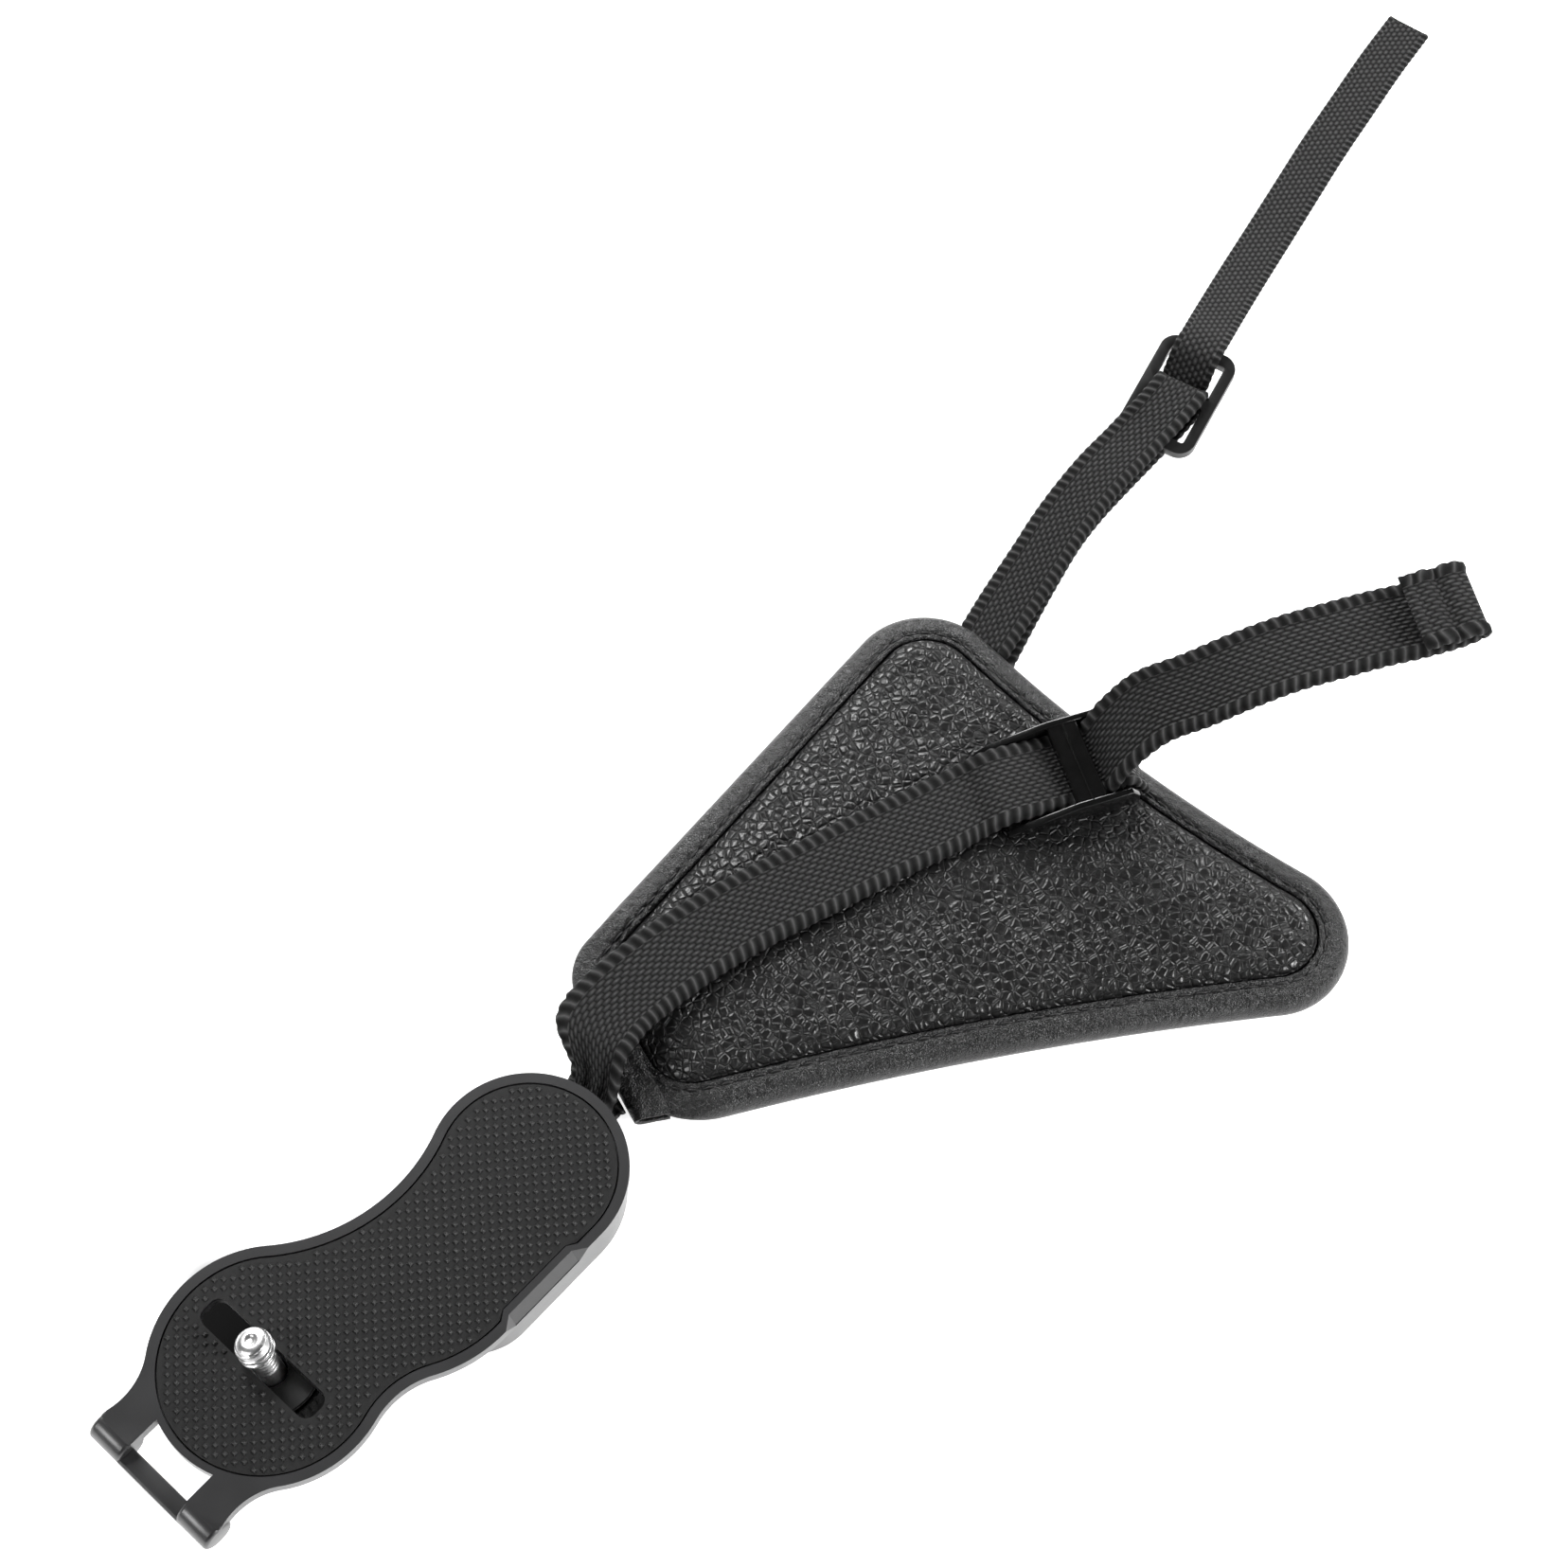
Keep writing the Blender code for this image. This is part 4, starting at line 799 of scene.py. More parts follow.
def instance_tree(name: str, points: Item, shape: Item,
                  material: Material) -> Item:
    """Copy a small shape onto every vertex of an object and bake the result.

    Args:
        name: Name of the finished object.
        points: Object whose vertices carry the copies; its attribute "facing" is each copy's X axis.
        shape: The small shape.
        material: Material of the copies.

    Returns:
        A plain mesh object with all the copies.
    """
    tree = bpy.data.node_groups.new(name + "_tree", "GeometryNodeTree")
    for label, way, kind in (("Geometry", "INPUT", "NodeSocketGeometry"),
                             ("Scale", "INPUT", "NodeSocketFloat"),
                             ("Seed", "INPUT", "NodeSocketInt"),
                             ("Geometry", "OUTPUT", "NodeSocketGeometry")):
        tree.interface.new_socket(label, in_out=way, socket_type=kind)
    entry = tree.nodes.new("NodeGroupInput")
    source = add_node(tree, "GeometryNodeObjectInfo", Object=shape)
    jitter = tree.nodes.new("FunctionNodeRandomValue")
    jitter.data_type = "FLOAT"
    low, high = jitter.inputs[2], jitter.inputs[3]
    low.default_value, high.default_value = COPY_SIZES
    fill(tree, jitter.inputs["Seed"], entry.outputs["Seed"])
    facing = tree.nodes.new("GeometryNodeInputNamedAttribute")
    facing.data_type = "FLOAT_VECTOR"
    facing.inputs["Name"].default_value = "facing"
    align = add_node(tree, "FunctionNodeAlignRotationToVector", Vector=facing.outputs["Attribute"])
    align.axis = "X"
    align.pivot_axis = "Z"
    copies = add_node(tree, "GeometryNodeInstanceOnPoints", Points=entry.outputs["Geometry"],
                      Instance=source.outputs["Geometry"], Rotation=align.outputs["Rotation"],
                      Scale=add_math(tree, "MULTIPLY", jitter.outputs[1], entry.outputs["Scale"]))
    real = add_node(tree, "GeometryNodeRealizeInstances", Geometry=copies.outputs["Instances"])
    paint = add_node(tree, "GeometryNodeSetMaterial", Geometry=real.outputs["Geometry"], Material=material)
    add_node(tree, "NodeGroupOutput", Geometry=paint.outputs["Geometry"])
    modifier = points.modifiers.new(name, "NODES")
    modifier.node_group = tree
    settings = {"Scale": 1.0, "Seed": COPY_SEED}
    for item in tree.interface.items_tree:
        if item.in_out == "INPUT" and item.name in settings:
            modifier[item.identifier] = settings[item.name]
    bake(points)
    mesh = points.data
    mesh.name = name
    bpy.data.objects.remove(points, do_unlink=True)
    bpy.data.objects.remove(shape, do_unlink=True)
    return new_object(name, mesh)


def point_cloud(name: str, places: list[Vector], facing: list[Vector]) -> Item:
    """Object with one loose vertex for each place, and a direction for each.

    Args:
        name: Name of the object.
        places: The vertices.
        facing: X direction of the copy at each vertex.

    Returns:
        The object.
    """
    mesh = bpy.data.meshes.new(name)
    mesh.from_pydata(places, [], [])
    layer = mesh.attributes.new("facing", "FLOAT_VECTOR", "POINT")
    for index, direction in enumerate(facing):
        layer.data[index].vector = direction
    return new_object(name, mesh)


def stitch_shape(length: float, radius: float) -> Item:
    """One stitch: a short thread that dips at both ends, along X."""
    bm = bmesh.new()
    rings = []
    for step in range(7):
        t = step / 6 * 2 - 1
        x = t * length / 2
        z = radius * (0.7 - 1.5 * abs(t) ** 3)
        r = radius * (1.0 - 0.35 * abs(t) ** 4)
        ring = [bm.verts.new((x, r * math.cos(a), z + r * math.sin(a)))
                for a in (math.tau * k / 8 for k in range(8))]
        rings.append(ring)
    bridge(bm, rings)
    bm.faces.new(list(reversed(rings[0])))
    bm.faces.new(rings[-1])
    bmesh.ops.recalc_face_normals(bm, faces=bm.faces)
    made = new_object("stitch", mesh_of(bm, "stitch"))
    made.data.shade_smooth()
    return made


# Levels shared by the sub-assemblies


@dataclass
class Levels:
    """Heights shared by the pieces."""

    rim: float = -0.3 * MM
    flange_low: float = -2.8 * MM
    table: float = -11.6 * MM
    pad_rim: float = 6.5 * MM
    crown: float = 10.0 * MM
    gap: float = 0.3 * MM


LEVEL = Levels()
BIG: Point2 = (-26.6 * MM, 3.75 * MM)
SMALL: Point2 = (26.6 * MM, -3.75 * MM)
WINDOW: Triple = (38.2 * MM, -1.4 * MM, -6.9 * MM)
CORNER: Point2 = (47.0 * MM, -9.3 * MM)
CORNER_TURN = math.radians(70)
LOCK_PIN: Point2 = (24.4 * MM, 1.2 * MM)


def cut_corner() -> tuple[Vector, Vector, Vector]:
    """The pad's cut corner: a point on it, the direction along it and the direction into the pad."""
    along = Vector((math.cos(CORNER_TURN), math.sin(CORNER_TURN)))
    return Vector(CORNER), along, Vector((along.y, -along.x))


@dataclass
class BasePlate:
    """Moulded plate: flange, boss, ears and strap bar, with the recess, slots, notch and window."""

    big_r: float = 20.4 * MM
    small_r: float = 17.4 * MM
    waist_r: float = 32.0 * MM
    low_waist_r: float = 15.0 * MM
    shoulder: tuple[float, float] = (3.5 * MM, 26.0 * MM)
    rim_width: float = 1.8 * MM
    recess: float = 1.2 * MM
    boss_inset: float = 0.5 * MM
    boss_tail: tuple[float, float] = (7.6 * MM, 11.6 * MM)
    ear_span: float = 28.0 * MM
    ear_r: float = 2.9 * MM
    ear_x: float = -51.2 * MM
    slot_width: float = 13.4 * MM
    slot_gap: float = 4.3 * MM
    bar_width: float = 3.4 * MM
    notch: tuple[float, float] = (6.0 * MM, 21.0 * MM)
    notch_depth: float = 1.7 * MM
    notch_run: float = 2.4 * MM
    notch_rubber: float = 1.15 * MM
    screw_slot: Triple = (5.4 * MM, 26.4 * MM, 5.35 * MM)
    slot_corner: float = 2.0 * MM
    window_reach: float = 5.4 * MM
    bar_drop: float = 2.2 * MM
    bar_thick: float = 2.4 * MM
    well_x: float = 14.5 * MM
    well_r: float = 5.25 * MM
    well_depth: float = 7.6 * MM

    @property
    def side_y(self) -> float:
        """Y of the straight side."""
        return SMALL[1] - self.small_r

    @property
    def shoulder_circle(self) -> Triple:
        """Corner circle of the shoulder between the straight side and the low waist."""
        return (self.shoulder[0], self.side_y + self.shoulder[1], self.shoulder[1])

    def seat(self, inset: float) -> list[Point2]:
        """Outline of the rubber seat, stepped back at the notch."""
        shape = Outline([(*SMALL, self.small_r), (*BIG, self.big_r), self.shoulder_circle],
                        [self.waist_r, self.low_waist_r, 0.0])
        side = self.side_y + inset
        points = [p for p in shape.points(inset)
                  if not (abs(p[1] - side) < 1e-6 and self.shoulder[0] < p[0] < SMALL[0])]
        left, right = self.notch
        slant = self.notch_run * 0.7
        back = side + self.notch_rubber
        return points + [(left - slant, side), (left, back), (right, back), (right + slant, side)]

    def flange(self) -> list[Point2]:
        """Outline of the flange with the ears."""
        r = 0.8 * MM
        half = self.ear_span / 2
        top = (self.ear_x + r, BIG[1] + half - r, r)
        low = (self.ear_x + r, BIG[1] - half + r, r)
        big = (*BIG, self.big_r)
        shape = Outline([(*SMALL, self.small_r), big, top, low, big, self.shoulder_circle],
                        [self.waist_r, 12.0 * MM, 0.0, 12.0 * MM, self.low_waist_r, 0.0], 0.5 * MM)
        return shape.points()

    def screw_opening(self, grow: float = 0.0) -> list[Point2]:
        """Outline of the screw slot."""
        width, length, y = self.screw_slot
        w, l, r = width / 2 + grow, length / 2 + grow, self.slot_corner
        spots = [(BIG[0] + w - r, y - l + r, r), (BIG[0] + w - r, y + l - r, r),
                 (BIG[0] - w + r, y + l - r, r), (BIG[0] - w + r, y - l + r, r)]
        return Outline(spots, [0.0] * 4, 0.3 * MM).points()

    def build(self) -> Item:
        """Build the plate's mesh."""
        plate = prism("plate", self.flange(), LEVEL.flange_low, LEVEL.rim, 0.32 * MM, 4)
        tail_x, tail_r = self.boss_tail
        tail = (tail_x, self.side_y + self.boss_inset + tail_r, tail_r)
        head = (*SMALL, self.small_r - self.boss_inset)
        boss_line = Outline([head, tail], [0.0, 0.0]).points()
        boss = prism("boss", boss_line, LEVEL.table, LEVEL.flange_low + 0.5 * MM, 0.5 * MM, 3)
        half, inner = self.ear_span / 2, self.slot_width / 2
        ear_z = LEVEL.rim - self.ear_r
        ears = [rod("ear", self.ear_r, (self.ear_x, BIG[1] + a, ear_z), (self.ear_x, BIG[1] + b, ear_z),
                    0.7 * MM)
                for a, b in ((inner, half), (-half, -inner))]
        edge = self.ear_x - self.ear_r + self.bar_width
        bar_top = LEVEL.rim - self.bar_drop
        bar = block("bar", (self.ear_x - self.ear_r, BIG[1] - inner - MM, bar_top - self.bar_thick),
                    (edge, BIG[1] + inner + MM, bar_top), 0.5 * MM)
        radius = BIG[0] - edge - self.slot_gap
        across = [-inner + self.slot_width * i / 24 for i in range(25)]
        curve = [(BIG[0] - math.sqrt(radius ** 2 - y ** 2), BIG[1] + y) for y in across]
        slot = prism("slot", [(edge, BIG[1] - inner)] + curve + [(edge, BIG[1] + inner)],
                     LEVEL.flange_low - MM, MM)
        step = block("step", (self.ear_x - self.ear_r - MM, BIG[1] - inner, -7 * MM),
                     (edge + 0.2 * MM, BIG[1] + inner, MM))
        recess = prism("recess", self.seat(self.rim_width), -self.recess, MM)
        opening = prism("opening", self.screw_opening(), LEVEL.flange_low - MM, MM)
        outer = self.notch_depth * 0.8
        run = self.notch_run * (self.notch_depth + outer) / self.notch_depth
        left, right = self.notch
        cut = [(left - run, self.side_y - outer), (right + run, self.side_y - outer),
               (right, self.side_y + self.notch_depth), (left, self.side_y + self.notch_depth)]
        notch = prism("notch", cut, -2.4 * MM, 0.6 * MM)
        for vertex in notch.data.vertices:
            vertex.co.y += (vertex.co.z - LEVEL.rim) * self.notch_depth / (2.3 * MM)
        reach = self.window_reach
        bar_x, window_y, bar_z = WINDOW
        window = block("window", (bar_x - 3.5 * MM, window_y - reach, bar_z - 3.3 * MM),
                       (46 * MM, window_y + reach, bar_z + 3.3 * MM))
        pin = rod("pin", 1.3 * MM, (bar_x, window_y - reach - 0.8 * MM, bar_z),
                  (bar_x, window_y + reach + 0.8 * MM, bar_z), 0.0, 32)
        bm = bmesh.new()
        bmesh.ops.create_cone(bm, cap_ends=True, segments=64, radius1=self.well_r, radius2=self.well_r,
                              depth=2 * self.well_depth)
        bmesh.ops.translate(bm, verts=bm.verts, vec=(self.well_x, SMALL[1], LEVEL.table))
        well = new_object("well", mesh_of(bm, "well"))
        added = [(item, Join.ADD) for item in (boss, *ears)]
        holes = [(item, Join.CUT) for item in (recess, opening, notch, window)]
        combine(plate, added + [(slot, Join.CUT), (step, Join.CUT), (bar, Join.ADD)] + holes
                + [(pin, Join.ADD), (well, Join.CUT)])
        return shade(plate, 28.0)

    def dress(self) -> Item:
        """Build the plate and give it its finish."""
        return dress(self.build(), MouldedPlastic().material(), "plate", "strap", "plate_body")


@dataclass
class RubberSeat:
    """Rubber inlay with a square field of small raised pads."""

    plate: BasePlate
    pitch: float = 1.55 * MM
    turn: float = 42.5
    pad_base: float = 0.94 * MM
    pad_top: float = 0.16 * MM
    pad_height: float = 0.4 * MM
    sheet_low: float = -0.9 * MM

    def inside(self, place: Point2, outline: list[Point2]) -> bool:
        """True if a point lies inside an outline."""
        x, y = place
        hit = False
        for (x1, y1), (x2, y2) in zip(outline, outline[1:] + outline[:1]):
            if (y1 > y) != (y2 > y) and x < (x2 - x1) * (y - y1) / (y2 - y1) + x1:
                hit = not hit
        return hit

    def build_sheet(self) -> Item:
        """Build the flat sheet below the pads."""
        sheet = prism("rubber_sheet", self.plate.seat(self.plate.rim_width + LEVEL.gap), self.sheet_low,
                      -self.pad_height, 0.12 * MM, 2)
        cut = prism("cut", self.plate.screw_opening(), -2 * MM, MM)
        return shade(combine(sheet, [(cut, Join.CUT)]), 35.0)

    def build_pad(self) -> Item:
        """Build one pad: a low pyramid with a small rounded top."""
        bm = bmesh.new()
        rings = []
        for size, height in ((1.0, 0.0), (0.84, 0.3), (0.5, 0.78), (self.pad_top / self.pad_base, 1.0)):
            half = self.pad_base * math.sqrt(0.5) * size
            low = height * self.pad_height - (0.04 * MM if height == 0.0 else 0.0)
            rings.append([bm.verts.new((sx * half, sy * half, low)) for sx,
                          sy in ((1, 0), (0, 1), (-1, 0), (0, -1))])
        bridge(bm, rings)
        bm.faces.new(rings[-1])
        bm.faces.new(list(reversed(rings[0])))
        return new_object("rubber_pad", mesh_of(bm, "rubber_pad"))

    def build_field(self, material: Material) -> Item:
        """Place the pads on the sheet."""
        edge = self.plate.seat(self.plate.rim_width + 0.95 * MM)
        hole = self.plate.screw_opening(0.75 * MM)
        angle = math.radians(-self.turn)
        first = Vector((math.cos(angle), math.sin(angle), 0.0))
        second = Vector((-first.y, first.x, 0.0))
        places = []
        for i in range(-45, 46):
            for j in range(-45, 46):
                spot = first * (i * self.pitch) + second * (j * self.pitch)
                if self.inside((spot.x, spot.y), edge) and not self.inside((spot.x, spot.y), hole):
                    places.append(Vector((spot.x, spot.y, -self.pad_height)))
        cloud = point_cloud("pad_places", places, [first] * len(places))
        return instance_tree("rubber_field", cloud, self.build_pad(), material)

    def dress(self) -> None:
        """Build the seat and give it its finish."""
        rubber = SeatRubber().material()
        sheet = self.build_sheet()
        dress(sheet, rubber, "rubber", "strap", "rubber_seat")
        dress(self.build_field(rubber), rubber, "rubber", "strap")


@dataclass
class CameraScrew:
    """Leaning screw with a helical thread, its washer and its thumb wheel."""

    lean: float = 16.0
    pivot: Triple = (-26.6 * MM, 5.2 * MM, -1.5 * MM)
    thread_r: float = 3.175 * MM
    root_r: float = 2.5 * MM
    neck_r: float = 2.45 * MM
    pitch: float = 1.27 * MM
    shoulder: float = 2.75 * MM
    tip: float = 7.15 * MM
    foot: float = -7.05 * MM

    @property
    def place(self) -> Matrix:
        """Placement of the screw's own frame."""
        return Matrix.Translation(self.pivot) @ Matrix.Rotation(-math.radians(self.lean), 4, "X")

    def radius(self, height: float, turn: float) -> float:
        """Radius of the screw at a height and a turn."""
        if height < self.shoulder:
            groove = abs(((height / (0.95 * MM)) - turn / math.tau) % 1.0 * 2 - 1)
            shallow = max(0.0, min(1.0, (height + 1.5 * MM) / MM))
            return self.neck_r - 0.22 * MM * (1 - groove) * shallow
        wave = abs(((height / self.pitch) - turn / math.tau) % 1.0 * 2 - 1)
        crest = min(1.0, wave * 1.6)
        full = self.root_r + (self.thread_r - self.root_r) * crest
        down = max(0.0, (self.tip - height) / (1.5 * MM))
        cap = self.thread_r * 0.66 + (self.thread_r * 0.34) * min(1.0, down) ** 0.6
        up = min(1.0, (height - self.shoulder) / (0.3 * MM))
        return min(cap, self.neck_r + (full - self.neck_r) * up)

    def build(self) -> Item:
        """Build the screw's mesh."""
        bm = bmesh.new()
        sides = 72
        heights = []
        level = self.foot
        while level < self.tip - 0.25 * MM:
            heights.append(level)
            level += 0.1 * MM if level > -1.6 * MM else 0.8 * MM
        rings = []
        for height in heights:
            ring = []
            for k in range(sides):
                turn = math.tau * k / sides
                r = self.radius(height, turn)
                ring.append(bm.verts.new((r * math.cos(turn), r * math.sin(turn), height)))
            rings.append(ring)
        dome = self.thread_r * 0.66
        for share, drop in ((0.92, 0.12), (0.75, 0.03), (0.45, 0.0), (0.4, 0.1), (0.12, 0.13)):
            ring = [bm.verts.new((dome * share * math.cos(math.tau * k / sides),
                                  dome * share * math.sin(math.tau * k / sides),
                                  self.tip - drop * MM)) for k in range(sides)]
            rings.append(ring)
        bridge(bm, rings)
        bm.faces.new(list(reversed(rings[0])))
        bm.faces.new(rings[-1])
        made = settle(new_object("camera_screw_threaded", mesh_of(bm, "camera_screw_threaded")), self.place)
        return shade(made, 50.0)

    def dress(self) -> None:
        """Build the screw and finish its washer and wheel."""
        dress(self.build(), BrightSteel().material(), "steel", "screw", "camera_screw")
        washer = MouldedPlastic("washer_moulding", (0.004, 0.004, 0.004), (0.5, 0.6), coat=0.0, gloss=0.35)
        carry_over("wheel_washer", washer.material())
        wheel = MouldedPlastic("wheel_moulding", (0.004, 0.004, 0.004), (0.6, 0.75), coat=0.0, gloss=0.1)
        carry_over("thumb_wheel", wheel.material())
        carry_over("tripod_socket", BrightSteel("socket_steel", (0.6, 0.6, 0.61)).material())


@dataclass
class PalmPad:
    """Padded grip: crowned grain-leather panel, sewn smooth binding and flat back."""

    outline: Outline = field(default_factory=lambda: Outline(
        [(66.6 * MM, -6.1 * MM, 16.0 * MM), (151.2 * MM, -69.6 * MM, 15.0 * MM),
         (148.3 * MM, 9.9 * MM, 15.5 * MM), (67.2 * MM, 10.0 * MM, 11.0 * MM)],
        [700.0 * MM, 300.0 * MM, 0.0, 0.0], 0.6 * MM))
    middle: Point2 = (122.0 * MM, -18.0 * MM)
    pinch: Triple = (0.42, 7.0 * MM, 16.0 * MM)
    binding: float = 6.0 * MM
    stitch_pitch: float = 3.0 * MM
    rings: int = 105
    cobble: float = 2.4 * MM
    grain: float = 0.12 * MM
    swell: float = 0.35 * MM

    def pinched(self, x: float, y: float, z: float) -> float:
        """Height of a pad point, squeezed beside the cut corner."""
        corner, along, _ = cut_corner()
        depth = (x - corner.x) * along.y - (y - corner.y) * along.x
        least, full, end = self.pinch
        keep = least + (1 - least) * smooth_step((depth - full) / (end - full))
        centre = LEVEL.table + LEVEL.pad_rim / 2
        return centre + (z - centre) * keep

    def drawn_in(self, x: float, y: float, share: float) -> Point2:
        """A point of the outline drawn in to a share of its distance from the middle."""
        return (self.middle[0] + (x - self.middle[0]) * share, self.middle[1] + (y - self.middle[1]) * share)

    def panel(self, name: str) -> Item:
        """Loft the crowned panel as one closed cushion with the leather's grain in its mesh."""
        bm = bmesh.new()
        rings = []
        for inset, height, share in self.face_profile():
            ring = []
            for x, y in self.outline.points(inset):
                px, py = self.drawn_in(x, y, share)
                near = noise.voronoi(Vector((px, py, 0.0)) / self.cobble)[0]
                dome = min(1.0, (near[1] - near[0]) * 2.2) ** 0.6
                swell = noise.noise(Vector((px, py, 0.0)) / (6.0 * MM)) * self.swell
                grown = (height + (dome - 0.6) * self.grain + swell * (share < 0.98))
                ring.append(bm.verts.new((px, py, self.pinched(px, py, grown))))
            rings.append(ring)
        under = [bm.verts.new((v.co.x, v.co.y, LEVEL.table + 1.2 * MM)) for v in rings[0]]
        rings.insert(0, under)
        count = len(under)
        bridge(bm, rings)
        for ring, order in ((rings[-1], 1), (rings[0], -1)):
            tip = bm.verts.new(sum((v.co for v in ring), Vector()) / count)
            for i in range(count):
                pair = (ring[i], ring[(i + 1) % count])[::order]
                bm.faces.new((*pair, tip))
        made = new_object(name, mesh_of(bm, name))
        return shade(made, 70.0)

    def skin(self, name: str, profile: list[Triple], pucker: float, close: bool, thickness: float) -> Item:
        """Loft a skin over rings of the outline and give it a thickness.

        Args:
            name: Name of the object.
            profile: Inset, height and share towards the middle of each ring, from outside to inside.
            pucker: Height of the gathers between the stitches.
            close: Close the last ring with a fan.
            thickness: Thickness of the skin, inwards.

        Returns:
            The object.
        """
        bm = bmesh.new()
        rings = []
        for inset, height, share in profile:
            points = self.outline.points(inset)
            run = 0.0
            ring = []
            for index, (x, y) in enumerate(points):
                if index:
                    run += math.dist(points[index - 1], points[index])
                px, py = self.drawn_in(x, y, share)
                near = math.exp(-((inset - 5.2 * MM) / (1.5 * MM)) ** 2) * (share > 0.99)
                gather = pucker * near * (0.6 * math.sin(math.tau * run / self.stitch_pitch)
                                          + 0.5 * math.sin(run / (1.13 * MM) + 1.3)
                                          + 0.5 * math.sin(run / (4.7 * MM)))
                ring.append(bm.verts.new((px, py, self.pinched(px, py, height + gather))))
            rings.append(ring)
        count = len(rings[0])
        bridge(bm, rings)
        if close:
            tip = bm.verts.new(sum((v.co for v in rings[-1]), Vector()) / count)
            for i in range(count):
                bm.faces.new((rings[-1][i], rings[-1][(i + 1) % count], tip))
        made = new_object(name, mesh_of(bm, name))
        solid = made.modifiers.new("thickness", "SOLIDIFY")
        solid.thickness = thickness
        solid.offset = -1.0
        return shade(bake(made), 50.0)

    def binding_profile(self) -> list[Triple]:
        """Rings of the binding: under edge, rounded side, top and sewn inner lip."""
        top = LEVEL.table + LEVEL.pad_rim
        rings = [(self.binding, LEVEL.table + 0.02 * MM, 1.0), (3.6 * MM, LEVEL.table, 1.0),
                 (2.4 * MM, LEVEL.table + 0.12 * MM, 1.0)]
        for step in range(1, 14):
            a = math.pi * (step / 14 - 0.5)
            rings.append((2.0 * MM - 2.0 * MM * math.cos(a), LEVEL.table + 3.1 * MM
                          + 2.95 * MM * math.sin(a), 1.0))
        rings += [(2.6 * MM, top - 0.3 * MM, 1.0), (3.3 * MM, top - 0.1 * MM, 1.0),
                  (4.0 * MM, top - 0.05 * MM, 1.0),
                  (4.4 * MM, top - 0.2 * MM, 1.0), (4.65 * MM, top - 0.5 * MM, 1.0),
                  (4.9 * MM, top - 0.2 * MM, 1.0),
                  (5.3 * MM, top + 0.0 * MM, 1.0), (5.75 * MM, top - 0.1 * MM, 1.0),
                  (5.95 * MM, top - 0.4 * MM, 1.0)]
        return rings

    def face_profile(self) -> list[Triple]:
        """Rings of the crowned panel, from the seam to the crown."""
        top = LEVEL.table + LEVEL.pad_rim
        crown = LEVEL.table + LEVEL.crown
        rings = [(6.15 * MM, top - 0.8 * MM, 1.0), (6.35 * MM, top - 0.3 * MM, 1.0),
                 (6.75 * MM, top + 0.2 * MM, 1.0),
                 (7.4 * MM, top + 0.7 * MM, 1.0), (8.3 * MM, top + 1.15 * MM, 1.0),
                 (9.5 * MM, top + 1.6 * MM, 1.0)]
        base = 1.6 * MM
        for step in range(1, self.rings + 1):
            share = 1.0 - 0.985 * step / self.rings
            rise = base + (crown - top - base) * (1.0 - share ** 2.4)
            rings.append((9.5 * MM, top + rise, share))
        return rings

    def stitches(self, material: Material) -> Item:
        """Row of stitches in the binding's groove."""
        top = LEVEL.table + LEVEL.pad_rim
        places, facing = [], []
        points = self.outline.points(4.65 * MM)
        run, due = 0.0, 0.0
        for (x1, y1), (x2, y2) in zip(points, points[1:] + points[:1]):
            length = math.dist((x1, y1), (x2, y2))
            while due <= run + length:
                t = (due - run) / length
                x, y = x1 + (x2 - x1) * t, y1 + (y2 - y1) * t
                places.append(Vector((x, y, self.pinched(x, y, top - 0.36 * MM))))
                facing.append(Vector((x2 - x1, y2 - y1, 0.0)).normalized())
                due += self.stitch_pitch
            run += length
        cloud = point_cloud("stitch_places", places, facing)
        return instance_tree("pad_stitches", cloud, stitch_shape(2.5 * MM, 0.22 * MM), material)

    def dress(self) -> None:
        """Build the pad and give it its finishes."""
        smooth = SmoothLeather().material()
        face = self.panel("pad_panel")
        dress(face, GrainLeather().material(), "leather", "strap", "pad_face", "pad_core")
        edge = self.skin("pad_edge", self.binding_profile(), 0.1 * MM, False, 0.8 * MM)
        dress(edge, smooth, "binding", "strap", "pad_binding")
        back_rings = [(6.2 * MM, LEVEL.table, 1.0)] + [(9.0 * MM, LEVEL.table, s)
                                                       for s in (1.0, 0.85, 0.6, 0.3)]
        back = self.skin("pad_lining", back_rings, 0.0, True, -0.8 * MM)
        bm = bmesh.new()
        bm.from_mesh(back.data)
        bmesh.ops.recalc_face_normals(bm, faces=bm.faces)
        bm.to_mesh(back.data)
        bm.free()
        dress(back, SmoothLeather("lining_leather", (0.018, 0.018, 0.018)).material(), "leather", "strap",
              "pad_back")
        thread = SewingThread().material()
        dress(self.stitches(thread), thread, "binding", "strap")


# Stops of the straps: X from the joint between plate and pad, Y, height above what
# carries them and the plan angle of the width, in millimetres and degrees

OVER_PAD: list[Stop] = [
    (-0.1, 0.0, -2.3, 98), (2.0, 2.4, -0.5, 108), (4.4, 4.6, 0.45, 110), (8.2, 5.9, 0.4, 103),
    (13.0, 6.2, 0.2, 96), (19.0, 5.7, 0.1, 86), (28.0, 4.4, 0.0, 79), (38.0, 2.0, 0.0, 75),
    (48.3, -1.2, 0.0, 72), (59.0, -4.8, 0.0, 71), (70.0, -8.4, 0.0, 70), (79.0, -11.7, 0.1, 68)]
FREE_END: list[Stop] = [
    (116.9, -28.5, 12.4, 62), (122.9, -33.7, 17.6, 58), (129.0, -38.2, 22.0, 56), (135.7, -42.8, 25.1, 54),
    (142.2, -47.6, 27.2, 54), (148.8, -52.3, 28.7, 54), (153.8, -56.1, 29.7, 54), (159.4, -59.7, 30.5, 55),
    (162.7, -61.4, 31.1, 56)]
